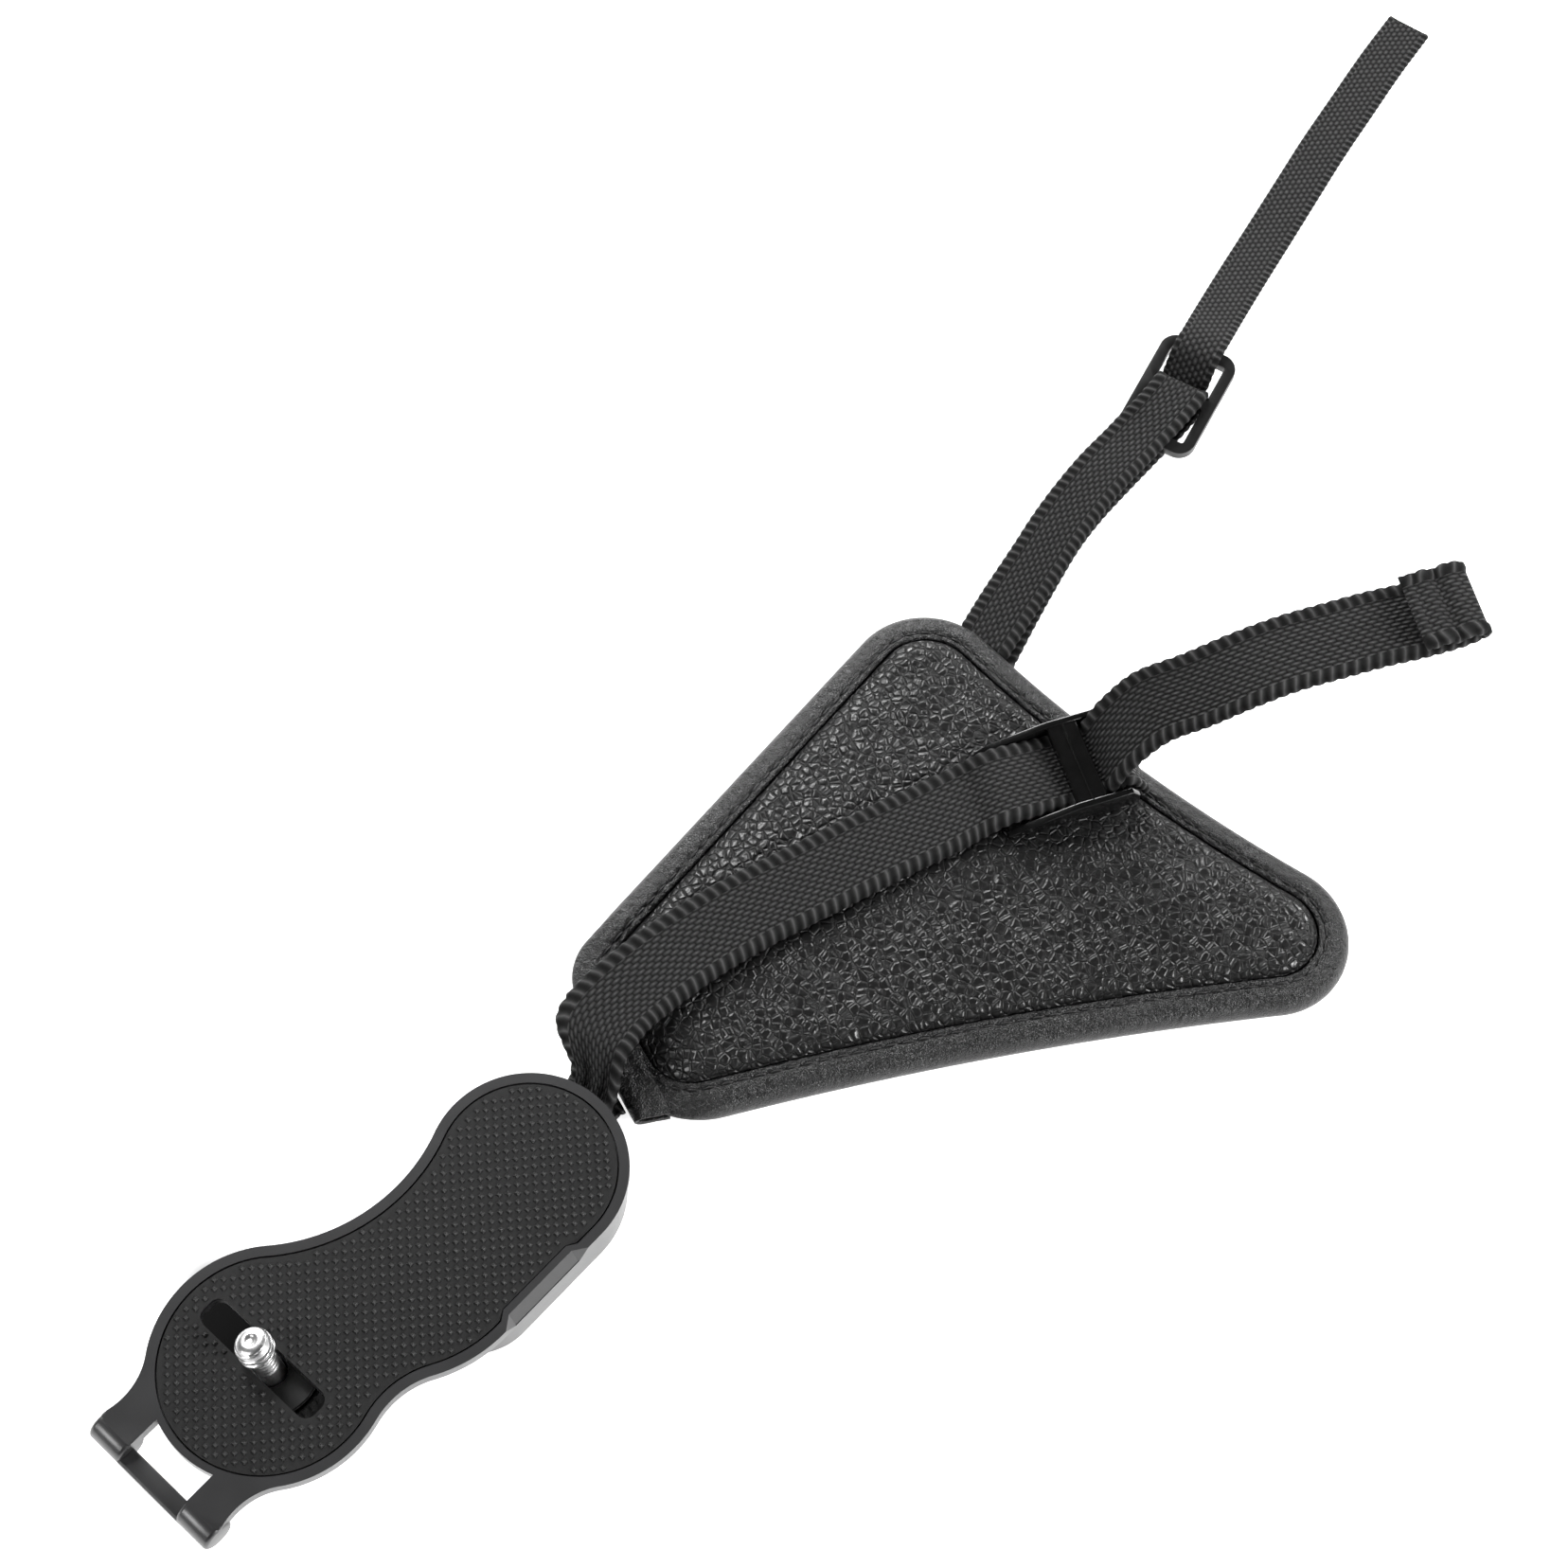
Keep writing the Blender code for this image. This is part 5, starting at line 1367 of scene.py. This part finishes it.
LUG_UPPER: list[Stop] = [
    (117.2, 8.8, 2.6, 91), (127.0, 10.9, 2.7, 99), (138.5, 13.1, 2.9, 99),
    (147.0, 14.8, 3.2, 98), (155.0, 15.9, 3.6, 95), (163.0, 16.5, 4.1, 93)]
LUG_LOWER: list[Triple] = [
    (170.4, 16.6, 93), (163.0, 16.4, 93), (155.0, 16.0, 95), (147.0, 15.0, 98),
    (138.5, 13.1, 100), (127.0, 10.1, 99), (117.3, 7.2, 91)]
TAIL_RUN: list[Stop] = [
    (209.5, 23.0, 5.0, 104), (222.5, 26.3, 2.6, 103), (235.0, 29.2, 1.1, 102), (249.0, 32.3, 0.5, 101),
    (262.0, 35.1, 0.2, 101), (276.1, 37.7, 0.0, 101), (289.5, 40.1, 0.0, 99), (302.7, 42.0, 0.0, 97)]
LOCK_THREAD: list[Triple] = [
    (-3.6, 0.0, 0.95), (-1.2, 0.1, 1.95), (0.8, 0.2, 2.55), (3.2, 0.3, 2.6), (7.0, 0.3, 2.2),
                             (12.0, 0.3, 1.6),
    (16.0, 0.3, 1.5), (18.6, 0.3, 1.6), (19.8, 0.3, 2.0), (20.6, 0.3, 2.9), (21.3, 0.3, 4.3),
                             (22.6, 0.9, 6.1),
    (24.6, 1.6, 8.0)]


@dataclass
class Straps:
    """The four webbing pieces and the leather strip at the cut corner."""

    grip: Webbing = field(default_factory=lambda: Webbing(15.0 * MM, 1.3 * MM))
    tab: Webbing = field(default_factory=lambda: Webbing(13.0 * MM, 1.0 * MM))
    lug: Webbing = field(default_factory=lambda: Webbing(11.0 * MM, 1.1 * MM, 1.9 * MM, 1.9 * MM, 0.3 * MM,
                                                         0.26 * MM))
    tail: Webbing = field(default_factory=lambda: Webbing(9.6 * MM, 1.0 * MM, 1.2 * MM, 1.6 * MM, 0.2 * MM,
                                                          0.2 * MM, 0.0))
    loop_r: float = 2.35 * MM
    lock_at: Point2 = (135.9 * MM, -15.75 * MM)
    lock_dir: float = math.radians(-29.5)
    lock_base: float = -1.3 * MM
    slider_at: Triple = (234.2 * MM, 16.8 * MM, -7.35 * MM)
    slider_l: float = 24.6 * MM
    slider_rail: float = 2.3 * MM
    stop_gap: float = 0.3 * MM
    stop_flap: float = 10.6 * MM
    stop_rise: float = 0.8 * MM
    slider_dir: float = math.radians(13.0)
    slider_pitch: float = math.radians(8.0)

    def lock_point(self, u: float, v: float, w: float) -> Vector:
        """World point from the ladder lock's length, side and height."""
        ahead = Vector((math.cos(self.lock_dir), math.sin(self.lock_dir), 0.0))
        aside = Vector((-ahead.y, ahead.x, 0.0))
        return Vector((*self.lock_at, self.lock_base)) + ahead * u + aside * v + Vector((0, 0, w))

    def slider_frame(self) -> Matrix:
        """Placement of the slider."""
        turn = Matrix.Rotation(self.slider_dir, 4, "Z") @ Matrix.Rotation(-self.slider_pitch, 4, "Y")
        return Matrix.Translation(self.slider_at) @ turn

    def grip_stops(self) -> list[Stop]:
        """Route of the grip strap."""
        corner, along, inward = cut_corner()
        start = corner + along * (8.4 * MM) - inward * (0.45 * MM)
        mid = LEVEL.table + LEVEL.pad_rim / 2
        square = math.pi / 2
        bar_x, y, bar_z = WINDOW
        end = 44.0 * MM
        stops: list[Stop] = [(start.x, start.y, mid, CORNER_TURN),
                             (start.x - 2.4 * MM, y, (mid + bar_z - self.loop_r) / 2, math.radians(80.0)),
                             (end - 0.2 * MM, y, bar_z - self.loop_r, square)]
        stops += [(u, y, w, square) for u, w in turn_points((bar_x, bar_z), self.loop_r, -90.0, -270.0, 12)]
        stops.append((end - 2.6 * MM, y, bar_z + self.loop_r, square))
        stops.append((end + 0.3 * MM, y + 0.2 * MM, bar_z + self.loop_r + 0.15 * MM, math.radians(92.0)))
        stops += self.placed(OVER_PAD, self.lock_base + self.grip.thickness / 2)
        across = self.lock_dir + square
        stops += [(*self.lock_point(u * MM, v * MM, w * MM), across) for u, v, w in LOCK_THREAD]
        stops += self.placed(FREE_END, self.lock_base)
        fold = (self.grip.thickness + self.stop_gap) / 2 + 0.15 * MM
        last, before = Vector(stops[-1][:3]), Vector(stops[-3][:3])
        turn = stops[-1][3]
        ahead = (last - before).normalized()
        lift = Vector((-ahead.z * ahead.x, -ahead.z * ahead.y, ahead.x ** 2 + ahead.y ** 2)).normalized()
        for angle in (30, 60, 90, 120, 150, 180):
            a = math.radians(angle)
            spot = last + ahead * (fold * math.sin(a)) + lift * (fold * (1 - math.cos(a)))
            stops.append((*spot, turn))
        for share, rise in ((0.2, 0.7), (0.42, -0.1), (0.6, 1.1), (0.82, 0.9), (0.92, 1.3), (1.0, 0.9)):
            spot = last - ahead * (share * self.stop_flap) + lift * (2 * fold + rise * self.stop_rise)
            stops.append((*spot, turn))
        return stops

    def placed(self, stops: list[Stop], base: float) -> list[Stop]:
        """Stops of the lists above in metres and radians, over a base height."""
        return [(CORNER[0] + x * MM, y * MM, base + rise * MM, math.radians(turn)) for x, y, rise,
                turn in stops]

    def tab_stops(self) -> list[Stop]:
        """Route of the tab round the ladder lock's pin."""
        radius = 0.9 * MM + LEVEL.gap + self.tab.thickness / 2
        pin = LOCK_PIN
        top = LEVEL.table + LEVEL.pad_rim - self.lock_base
        flat = [(pin[0] + 3.1 * MM, top + 1.0 * MM), (pin[0] + 1.4 * MM, pin[1] - radius - 1.1 * MM)]
        flat += turn_points(pin, radius, -75.0, -330.0, 14)
        flat += [(pin[0] + 3.3 * MM, pin[1] - 1.9 * MM), (pin[0] + 4.6 * MM, top + 0.6 * MM)]
        return [(*self.lock_point(u, 0, w), self.lock_dir + math.pi / 2) for u, w in flat]

    def lug_stops(self) -> list[Stop]:
        """Route of the doubled lug strap."""
        place, across = self.slider_frame(), self.slider_dir + math.pi / 2
        thick = self.lug.thickness
        radius = 2.2 * MM * 0.71 + LEVEL.gap + thick / 2
        rail = 1.1 * MM + LEVEL.gap + thick / 2 + 0.1 * MM
        near = self.slider_l / 2
        stops = self.placed(LUG_UPPER, LEVEL.table)
        for u, v, w, turn in ((-near - 3.3 * MM, 3.4 * MM, rail + 0.2 * MM, -0.19),
                              (-near + 1.2 * MM, 2.4 * MM, rail + 0.1 * MM, -0.14),
                              (-near / 2, 1.1 * MM, radius, -0.06)):
            stops.append((*(place @ Vector((u, v, w))), across + turn))
        stops += [(*(place @ Vector((u, 0.0, w))), across) for u,
                  w in turn_points((0.0, 0.0), radius, 90.0, -90.0, 10)]
        for u, v, turn in ((-near / 2, 1.1 * MM, -0.06), (-near + 1.2 * MM, 2.4 * MM, -0.14)):
            stops.append((*(place @ Vector((u, v, -rail))), across + turn))
        stops += self.placed([(x, y, 0.0, turn) for x, y, turn in LUG_LOWER], LEVEL.table + thick / 2
                             + 0.1 * MM)
        return stops

    def tail_stops(self) -> list[Stop]:
        """Route of the thin tail through the slider."""
        place, across = self.slider_frame(), self.slider_dir + math.pi / 2
        thick = self.tail.thickness
        under = -(2.2 * MM * 0.71 + 2 * LEVEL.gap + self.lug.thickness + thick / 2)
        over = 1.1 * MM + LEVEL.gap + thick / 2 + 0.25 * MM
        far = self.slider_l / 2
        flat = [(-1.0 * MM, under), (2.0 * MM, under + 0.1 * MM), (far * 0.42, under + 1.3 * MM),
                (far * 0.57, -0.3 * MM),
                (far * 0.72, over - 0.4 * MM), (far - self.slider_rail / 2, over + 0.15 * MM),
                (far + 1.6 * MM, over - 0.3 * MM)]
        stops: list[Stop] = [(*(place @ Vector((u, 0.6 * MM, w))), across) for u, w in flat]
        return stops + self.placed(TAIL_RUN, LEVEL.table + thick / 2 + 0.1 * MM)

    def corner_strip(self) -> Item:
        """Leather strip folded over the cut corner."""
        start, along, inward = cut_corner()
        bend = 5.2 * MM / 2 - 0.45 * MM
        middle = LEVEL.table + LEVEL.pad_rim / 2
        profile = [(6.3 * MM - i * 1.2 * MM, -bend) for i in range(4)]
        profile += [(0.45 * MM + bend * (1 + math.cos(a)) * 0.7, bend * math.sin(a))
                    for a in (-math.pi / 2 - math.pi * i / 14 for i in range(15))]
        profile += [(6.3 * MM - i * 1.2 * MM, bend) for i in range(3, -1, -1)]
        bm = bmesh.new()
        rows = []
        for depth, height in profile:
            row = []
            for k in range(41):
                run = k / 40 * 27.5 * MM - depth * 0.28
                spot = start + along * run + inward * depth
                crease = 0.06 * MM * math.sin(k * 1.7) * (depth < 4 * MM)
                valley = math.exp(-((depth - 3.9 * MM) / (0.35 * MM)) ** 2)
                groove = 0.22 * MM * valley * math.copysign(1.0, height)
                end = min(k, 40 - k) / 40 * 27.5 * MM
                press = 1.0 - 0.5 * (1.0 - smooth_step(end / (2.6 * MM)))
                row.append(bm.verts.new((spot.x, spot.y, middle + (height + crease - groove) * press)))
            rows.append(row)
        for first, second in zip(rows, rows[1:]):
            for i in range(40):
                bm.faces.new((first[i], first[i + 1], second[i + 1], second[i]))
        made = new_object("corner_fold", mesh_of(bm, "corner_fold"))
        solid = made.modifiers.new("thickness", "SOLIDIFY")
        solid.thickness = 0.9 * MM
        solid.offset = 0.0
        bake(made)
        edge = made.modifiers.new("edge", "BEVEL")
        edge.width = 0.15 * MM
        edge.segments = 2
        edge.angle_limit = math.radians(50)
        return shade(bake(made), 40.0)

    def dress(self) -> None:
        """Build all the straps and give them their finishes."""
        wide = NylonWebbing().material()
        neck = Gather(9.6 * MM, 46.0 * MM, 8.0 * MM)
        dress(self.grip.build("grip_webbing", self.grip_stops(), neck), wide, "webbing", "strap",
              "grip_strap")
        dress(self.tab.build("tab_webbing", self.tab_stops()), wide, "webbing", "strap", "buckle_tab")
        narrow = NylonWebbing("lug_nylon", run=1.9, field_half=3.5, rib=1.9).material()
        dress(self.lug.build("lug_webbing", self.lug_stops()), narrow, "webbing", "strap", "lug_strap")
        fine = NylonWebbing("tail_nylon", column=1.0, run=1.6, field_half=3.7, rib=1.6, slant=0.0).material()
        dress(self.tail.build("tail_webbing", self.tail_stops()), fine, "webbing", "strap", "lug_tail")
        strip = SmoothLeather("strip_leather", (0.014, 0.014, 0.014)).material()
        dress(self.corner_strip(), strip, "binding", "strap", "corner_strip")


@dataclass
class LadderLock:
    """Ladder lock buckle with tapering side walls."""

    straps: Straps
    length: float = 25.6 * MM
    height: float = 4.8 * MM
    wall: float = 1.3 * MM
    half: float = 8.1 * MM
    bar: tuple[float, float] = (13.6 * MM, 19.3 * MM)
    bar_z: tuple[float, float] = (2.9 * MM, 4.7 * MM)

    def build(self) -> Item:
        """Build the buckle's mesh."""
        profile = [(0.0, 0.0), (self.length, 0.0), (self.length, self.height * 0.55),
                   (self.length - 1.6 * MM, self.height),
                   (13.4 * MM, self.height), (2.6 * MM, self.height * 0.42), (0.0, self.height * 0.3)]
        upright = Matrix.Rotation(math.pi / 2, 4, "X")
        walls = []
        for side in (-self.half - self.wall, self.half):
            wall = prism("wall", profile, 0.0, self.wall, 0.3 * MM, 3)
            wall.data.transform(Matrix.Translation((0, side + self.wall, 0)) @ upright)
            walls.append(wall)
        reach = self.half + self.wall / 2
        low = block("low", (0.3 * MM, -reach, 0.1 * MM), (3.1 * MM, reach, 1.4 * MM), 0.3 * MM)
        (a, b), (floor, top) = self.bar, self.bar_z
        crest = (a + b) / 2
        roof = [(a, floor), (b, floor), (b, top - 0.35 * MM), (b - 0.3 * MM, top - 0.15 * MM),
                (crest + 0.25 * MM, top - 0.1 * MM), (crest + 0.1 * MM, top + 0.15 * MM),
                (crest - 0.1 * MM, top + 0.15 * MM), (crest - 0.25 * MM, top - 0.1 * MM),
                (a + 0.3 * MM, top - 0.15 * MM), (a, top - 0.35 * MM)]
        bar = prism("bar", roof, -reach, reach, 0.0)
        bar.data.transform(upright)
        u, w = LOCK_PIN
        pin = rod("pin", 0.9 * MM, (u, -reach, w), (u, reach, w), 0.0, 32)
        lock = combine(walls[0], [(walls[1], Join.ADD), (low, Join.ADD), (bar, Join.ADD), (pin, Join.ADD)])
        lock.name = "ladder_lock_gloss"
        settle(lock,
               Matrix.Translation(self.straps.lock_point(0, 0, 0)) @ Matrix.Rotation(self.straps.lock_dir,
                                                                                     4, "Z"))
        return shade(lock, 30.0)

    def dress(self) -> Item:
        """Build the buckle and give it its finish."""
        return dress(self.build(), GlossPlastic().material(), "gloss", "strap", "ladder_lock")


@dataclass
class StrapSlider:
    """Three-bar slider on the lug strap."""

    straps: Straps
    half_width: float = 8.15 * MM
    bar: float = 2.2 * MM
    thickness: float = 2.2 * MM
    corner: float = 3.4 * MM

    def build(self) -> Item:
        """Build the slider's mesh."""
        half, wide, r = self.straps.slider_l / 2, self.half_width, self.corner
        ring = [(half - r, -wide + r, r), (half - r, wide - r, r), (-half + r, wide - r, r),
                (-half + r, -wide + r, r)]
        slider = prism("slider_frame", Outline(ring, [0.0] * 4, 0.3 * MM).points(), -self.thickness / 2,
                       self.thickness / 2, 0.6 * MM, 4)
        cuts = []
        room, q = wide - self.straps.slider_rail, 0.5 * MM
        for side in (-1, 1):
            a, b = sorted((side * self.bar / 2, side * (half - self.straps.slider_rail - 0.3 * MM)))
            hole = [(b - q, -room + q, q), (b - q, room - q, q), (a + q, room - q, q), (a + q, -room + q, q)]
            cuts.append((prism("window", Outline(hole, [0.0] * 4, 0.3 * MM).points(), -4 * MM, 4 * MM),
                         Join.CUT))
        combine(slider, cuts)
        edge = slider.modifiers.new("edge", "BEVEL")
        edge.width = 0.25 * MM
        edge.segments = 3
        edge.limit_method = "ANGLE"
        edge.angle_limit = math.radians(60)
        bake(slider)
        settle(slider, self.straps.slider_frame())
        return shade(slider, 35.0)

    def dress(self) -> Item:
        """Build the slider and give it its finish."""
        satin = GlossPlastic("slider_moulding", (0.016, 0.016, 0.016), (0.26, 0.36))
        return dress(self.build(), satin.material(), "slider", "strap", "slider")


@dataclass(frozen=True)
class Lamp:
    """Square area lamp aimed at the middle of the strap."""

    name: str
    place: Triple
    size: float
    power: float
    aim: Triple = (0.12, 0.0, 0.0)

    def hang(self) -> None:
        """Add the lamp to the scene."""
        data = bpy.data.lights.new(self.name, "AREA")
        data.shape = "SQUARE"
        data.size = self.size
        data.energy = self.power
        lamp = bpy.data.objects.new(self.name, data)
        turn = (Vector(self.aim) - Vector(self.place)).to_track_quat("-Z", "Y").to_matrix().to_4x4()
        lamp.matrix_world = Matrix.Translation(self.place) @ turn
        bpy.context.scene.collection.objects.link(lamp)


LAMPS = (
    Lamp("back_panel", (0.37, 0.79, 0.66), 0.4, 8.0),
    Lamp("front_panel", (0.3, -0.8, 0.45), 0.28, 8.0),
    Lamp("right_panel", (1.0, -0.1, 0.35), 0.25, 4.0),
    Lamp("left_panel", (-0.65, 0.3, 0.6), 0.3, 3.0),
    Lamp("far_panel", (0.78, 0.72, 0.3), 0.26, 6.0))


@dataclass
class Studio:
    """Pale floor, soft light and the camera."""

    position: Triple = (-78.76 * MM, -136.71 * MM, 461.0 * MM)
    right: Triple = (0.6677, -0.7437, 0.0330)
    up: Triple = (0.6488, 0.6031, 0.4641)
    forward: Triple = (0.3651, 0.2885, -0.8852)
    focal_px: float = 3000.0
    image_px: float = 1656.0
    sensor: float = 36.0
    floor_gap: float = 0.05 * MM
    # The shade_* fields place a painted shadow on the floor under the plate's screw slot.
    shade_at: Point2 = (-22.5 * MM, 8.6 * MM)
    shade_reach: Point2 = (9.5 * MM, 19.0 * MM)
    shade_edge: Point2 = (0.85, 1.2)
    shade_level: Point2 = (0.006, 0.85)
    sky_span: Point2 = (0.05, 0.6)
    sky_level: Point2 = (0.3, 0.03)

    def camera(self) -> None:
        """Set the camera at the viewing angle."""
        lens = bpy.data.cameras.new("viewpoint")
        lens.sensor_width = self.sensor
        lens.lens = self.sensor * self.focal_px / self.image_px
        lens.clip_start = 0.01
        lens.clip_end = 10.0
        view = bpy.data.objects.new("viewpoint", lens)
        x, y = Vector(self.right).normalized(), Vector(self.up).normalized()
        z = -Vector(self.forward).normalized()
        turn = Matrix((x, y, z)).transposed().to_4x4()
        view.matrix_world = Matrix.Translation(self.position) @ turn
        bpy.context.scene.collection.objects.link(view)
        bpy.context.scene.camera = view

    def floor(self) -> None:
        """Add the floor below the object."""
        bm = bmesh.new()
        bmesh.ops.create_grid(bm, x_segments=1, y_segments=1, size=3.0)
        bmesh.ops.translate(bm, verts=bm.verts, vec=(0.12, 0.0, LEVEL.table - self.floor_gap))
        ground = new_object("studio_floor", mesh_of(bm, "studio_floor"))
        material = bpy.data.materials.new("floor_paper")
        material.use_nodes = True
        tree = material.node_tree
        tree.nodes.clear()
        path = tree.nodes.new("ShaderNodeLightPath")
        seen = add_math(tree, "MAXIMUM", path.outputs["Is Camera Ray"], path.outputs["Is Glossy Ray"])
        # The floor's colour and glow are both darkened by a painted shadow under the plate.
        painted_shadow_share = self.floor_painted_shadow(tree)
        matt = add_node(tree, "ShaderNodeBsdfDiffuse", Color=painted_shadow_share)
        glow = add_node(tree, "ShaderNodeEmission", Strength=add_math(tree, "MULTIPLY", seen, painted_shadow_share))
        both = tree.nodes.new("ShaderNodeAddShader")
        fill(tree, both.inputs[0], matt.outputs[0])
        fill(tree, both.inputs[1], glow.outputs[0])
        add_node(tree, "ShaderNodeOutputMaterial", Surface=both.outputs[0])
        ground.data.materials.append(material)

    def floor_painted_shadow(self, tree: Tree) -> Socket:
        """Glow and colour of the floor, with a painted shadow under the plate's screw slot.

        Args:
            tree: Node tree of the floor's material.

        Returns:
            The socket with the glow and the painted shadow.
        """
        coords = tree.nodes.new("ShaderNodeTexCoord")
        place = add_node(tree, "ShaderNodeMapping", Vector=coords.outputs["Object"],
                         Location=(*self.shade_at, LEVEL.table), Scale=(*self.shade_reach, 1.0))
        place.vector_type = "TEXTURE"
        size = add_node(tree, "ShaderNodeVectorMath", Vector=place.outputs["Vector"])
        size.operation = "LENGTH"
        return add_range(tree, size.outputs["Value"], self.shade_edge, self.shade_level)

    def light(self) -> None:
        """Set the world and the soft lamps."""
        world = bpy.data.worlds.new("studio")
        bpy.context.scene.world = world
        world.use_nodes = True
        tree = world.node_tree
        tree.nodes.clear()
        coords = tree.nodes.new("ShaderNodeTexCoord")
        split = add_node(tree, "ShaderNodeSeparateXYZ", Vector=coords.outputs["Generated"])
        sky = add_range(tree, split.outputs["Z"], self.sky_span, self.sky_level)
        sky.node.interpolation_type = "SMOOTHSTEP"
        path = tree.nodes.new("ShaderNodeLightPath")
        strength = add_math(tree, "MAXIMUM", sky, path.outputs["Is Camera Ray"])
        back = add_node(tree, "ShaderNodeBackground", Strength=strength)
        add_node(tree, "ShaderNodeOutputWorld", Surface=back.outputs[0])
        for lamp in LAMPS:
            lamp.hang()

    def build(self) -> None:
        """Set up the whole stage."""
        self.camera()
        self.floor()
        self.light()
        view = bpy.context.scene.view_settings
        view.view_transform = "Standard"


def main() -> None:
    """Build the strap and its stage."""
    logging.basicConfig(level=logging.INFO, format="%(message)s")
    Studio().build()
    plate = BasePlate()
    plate.dress()
    RubberSeat(plate).dress()
    CameraScrew().dress()
    PalmPad().dress()
    straps = Straps()
    straps.dress()
    LadderLock(straps).dress()
    StrapSlider(straps).dress()
    bpy.context.view_layer.update()


if __name__ == "__main__":
    main()
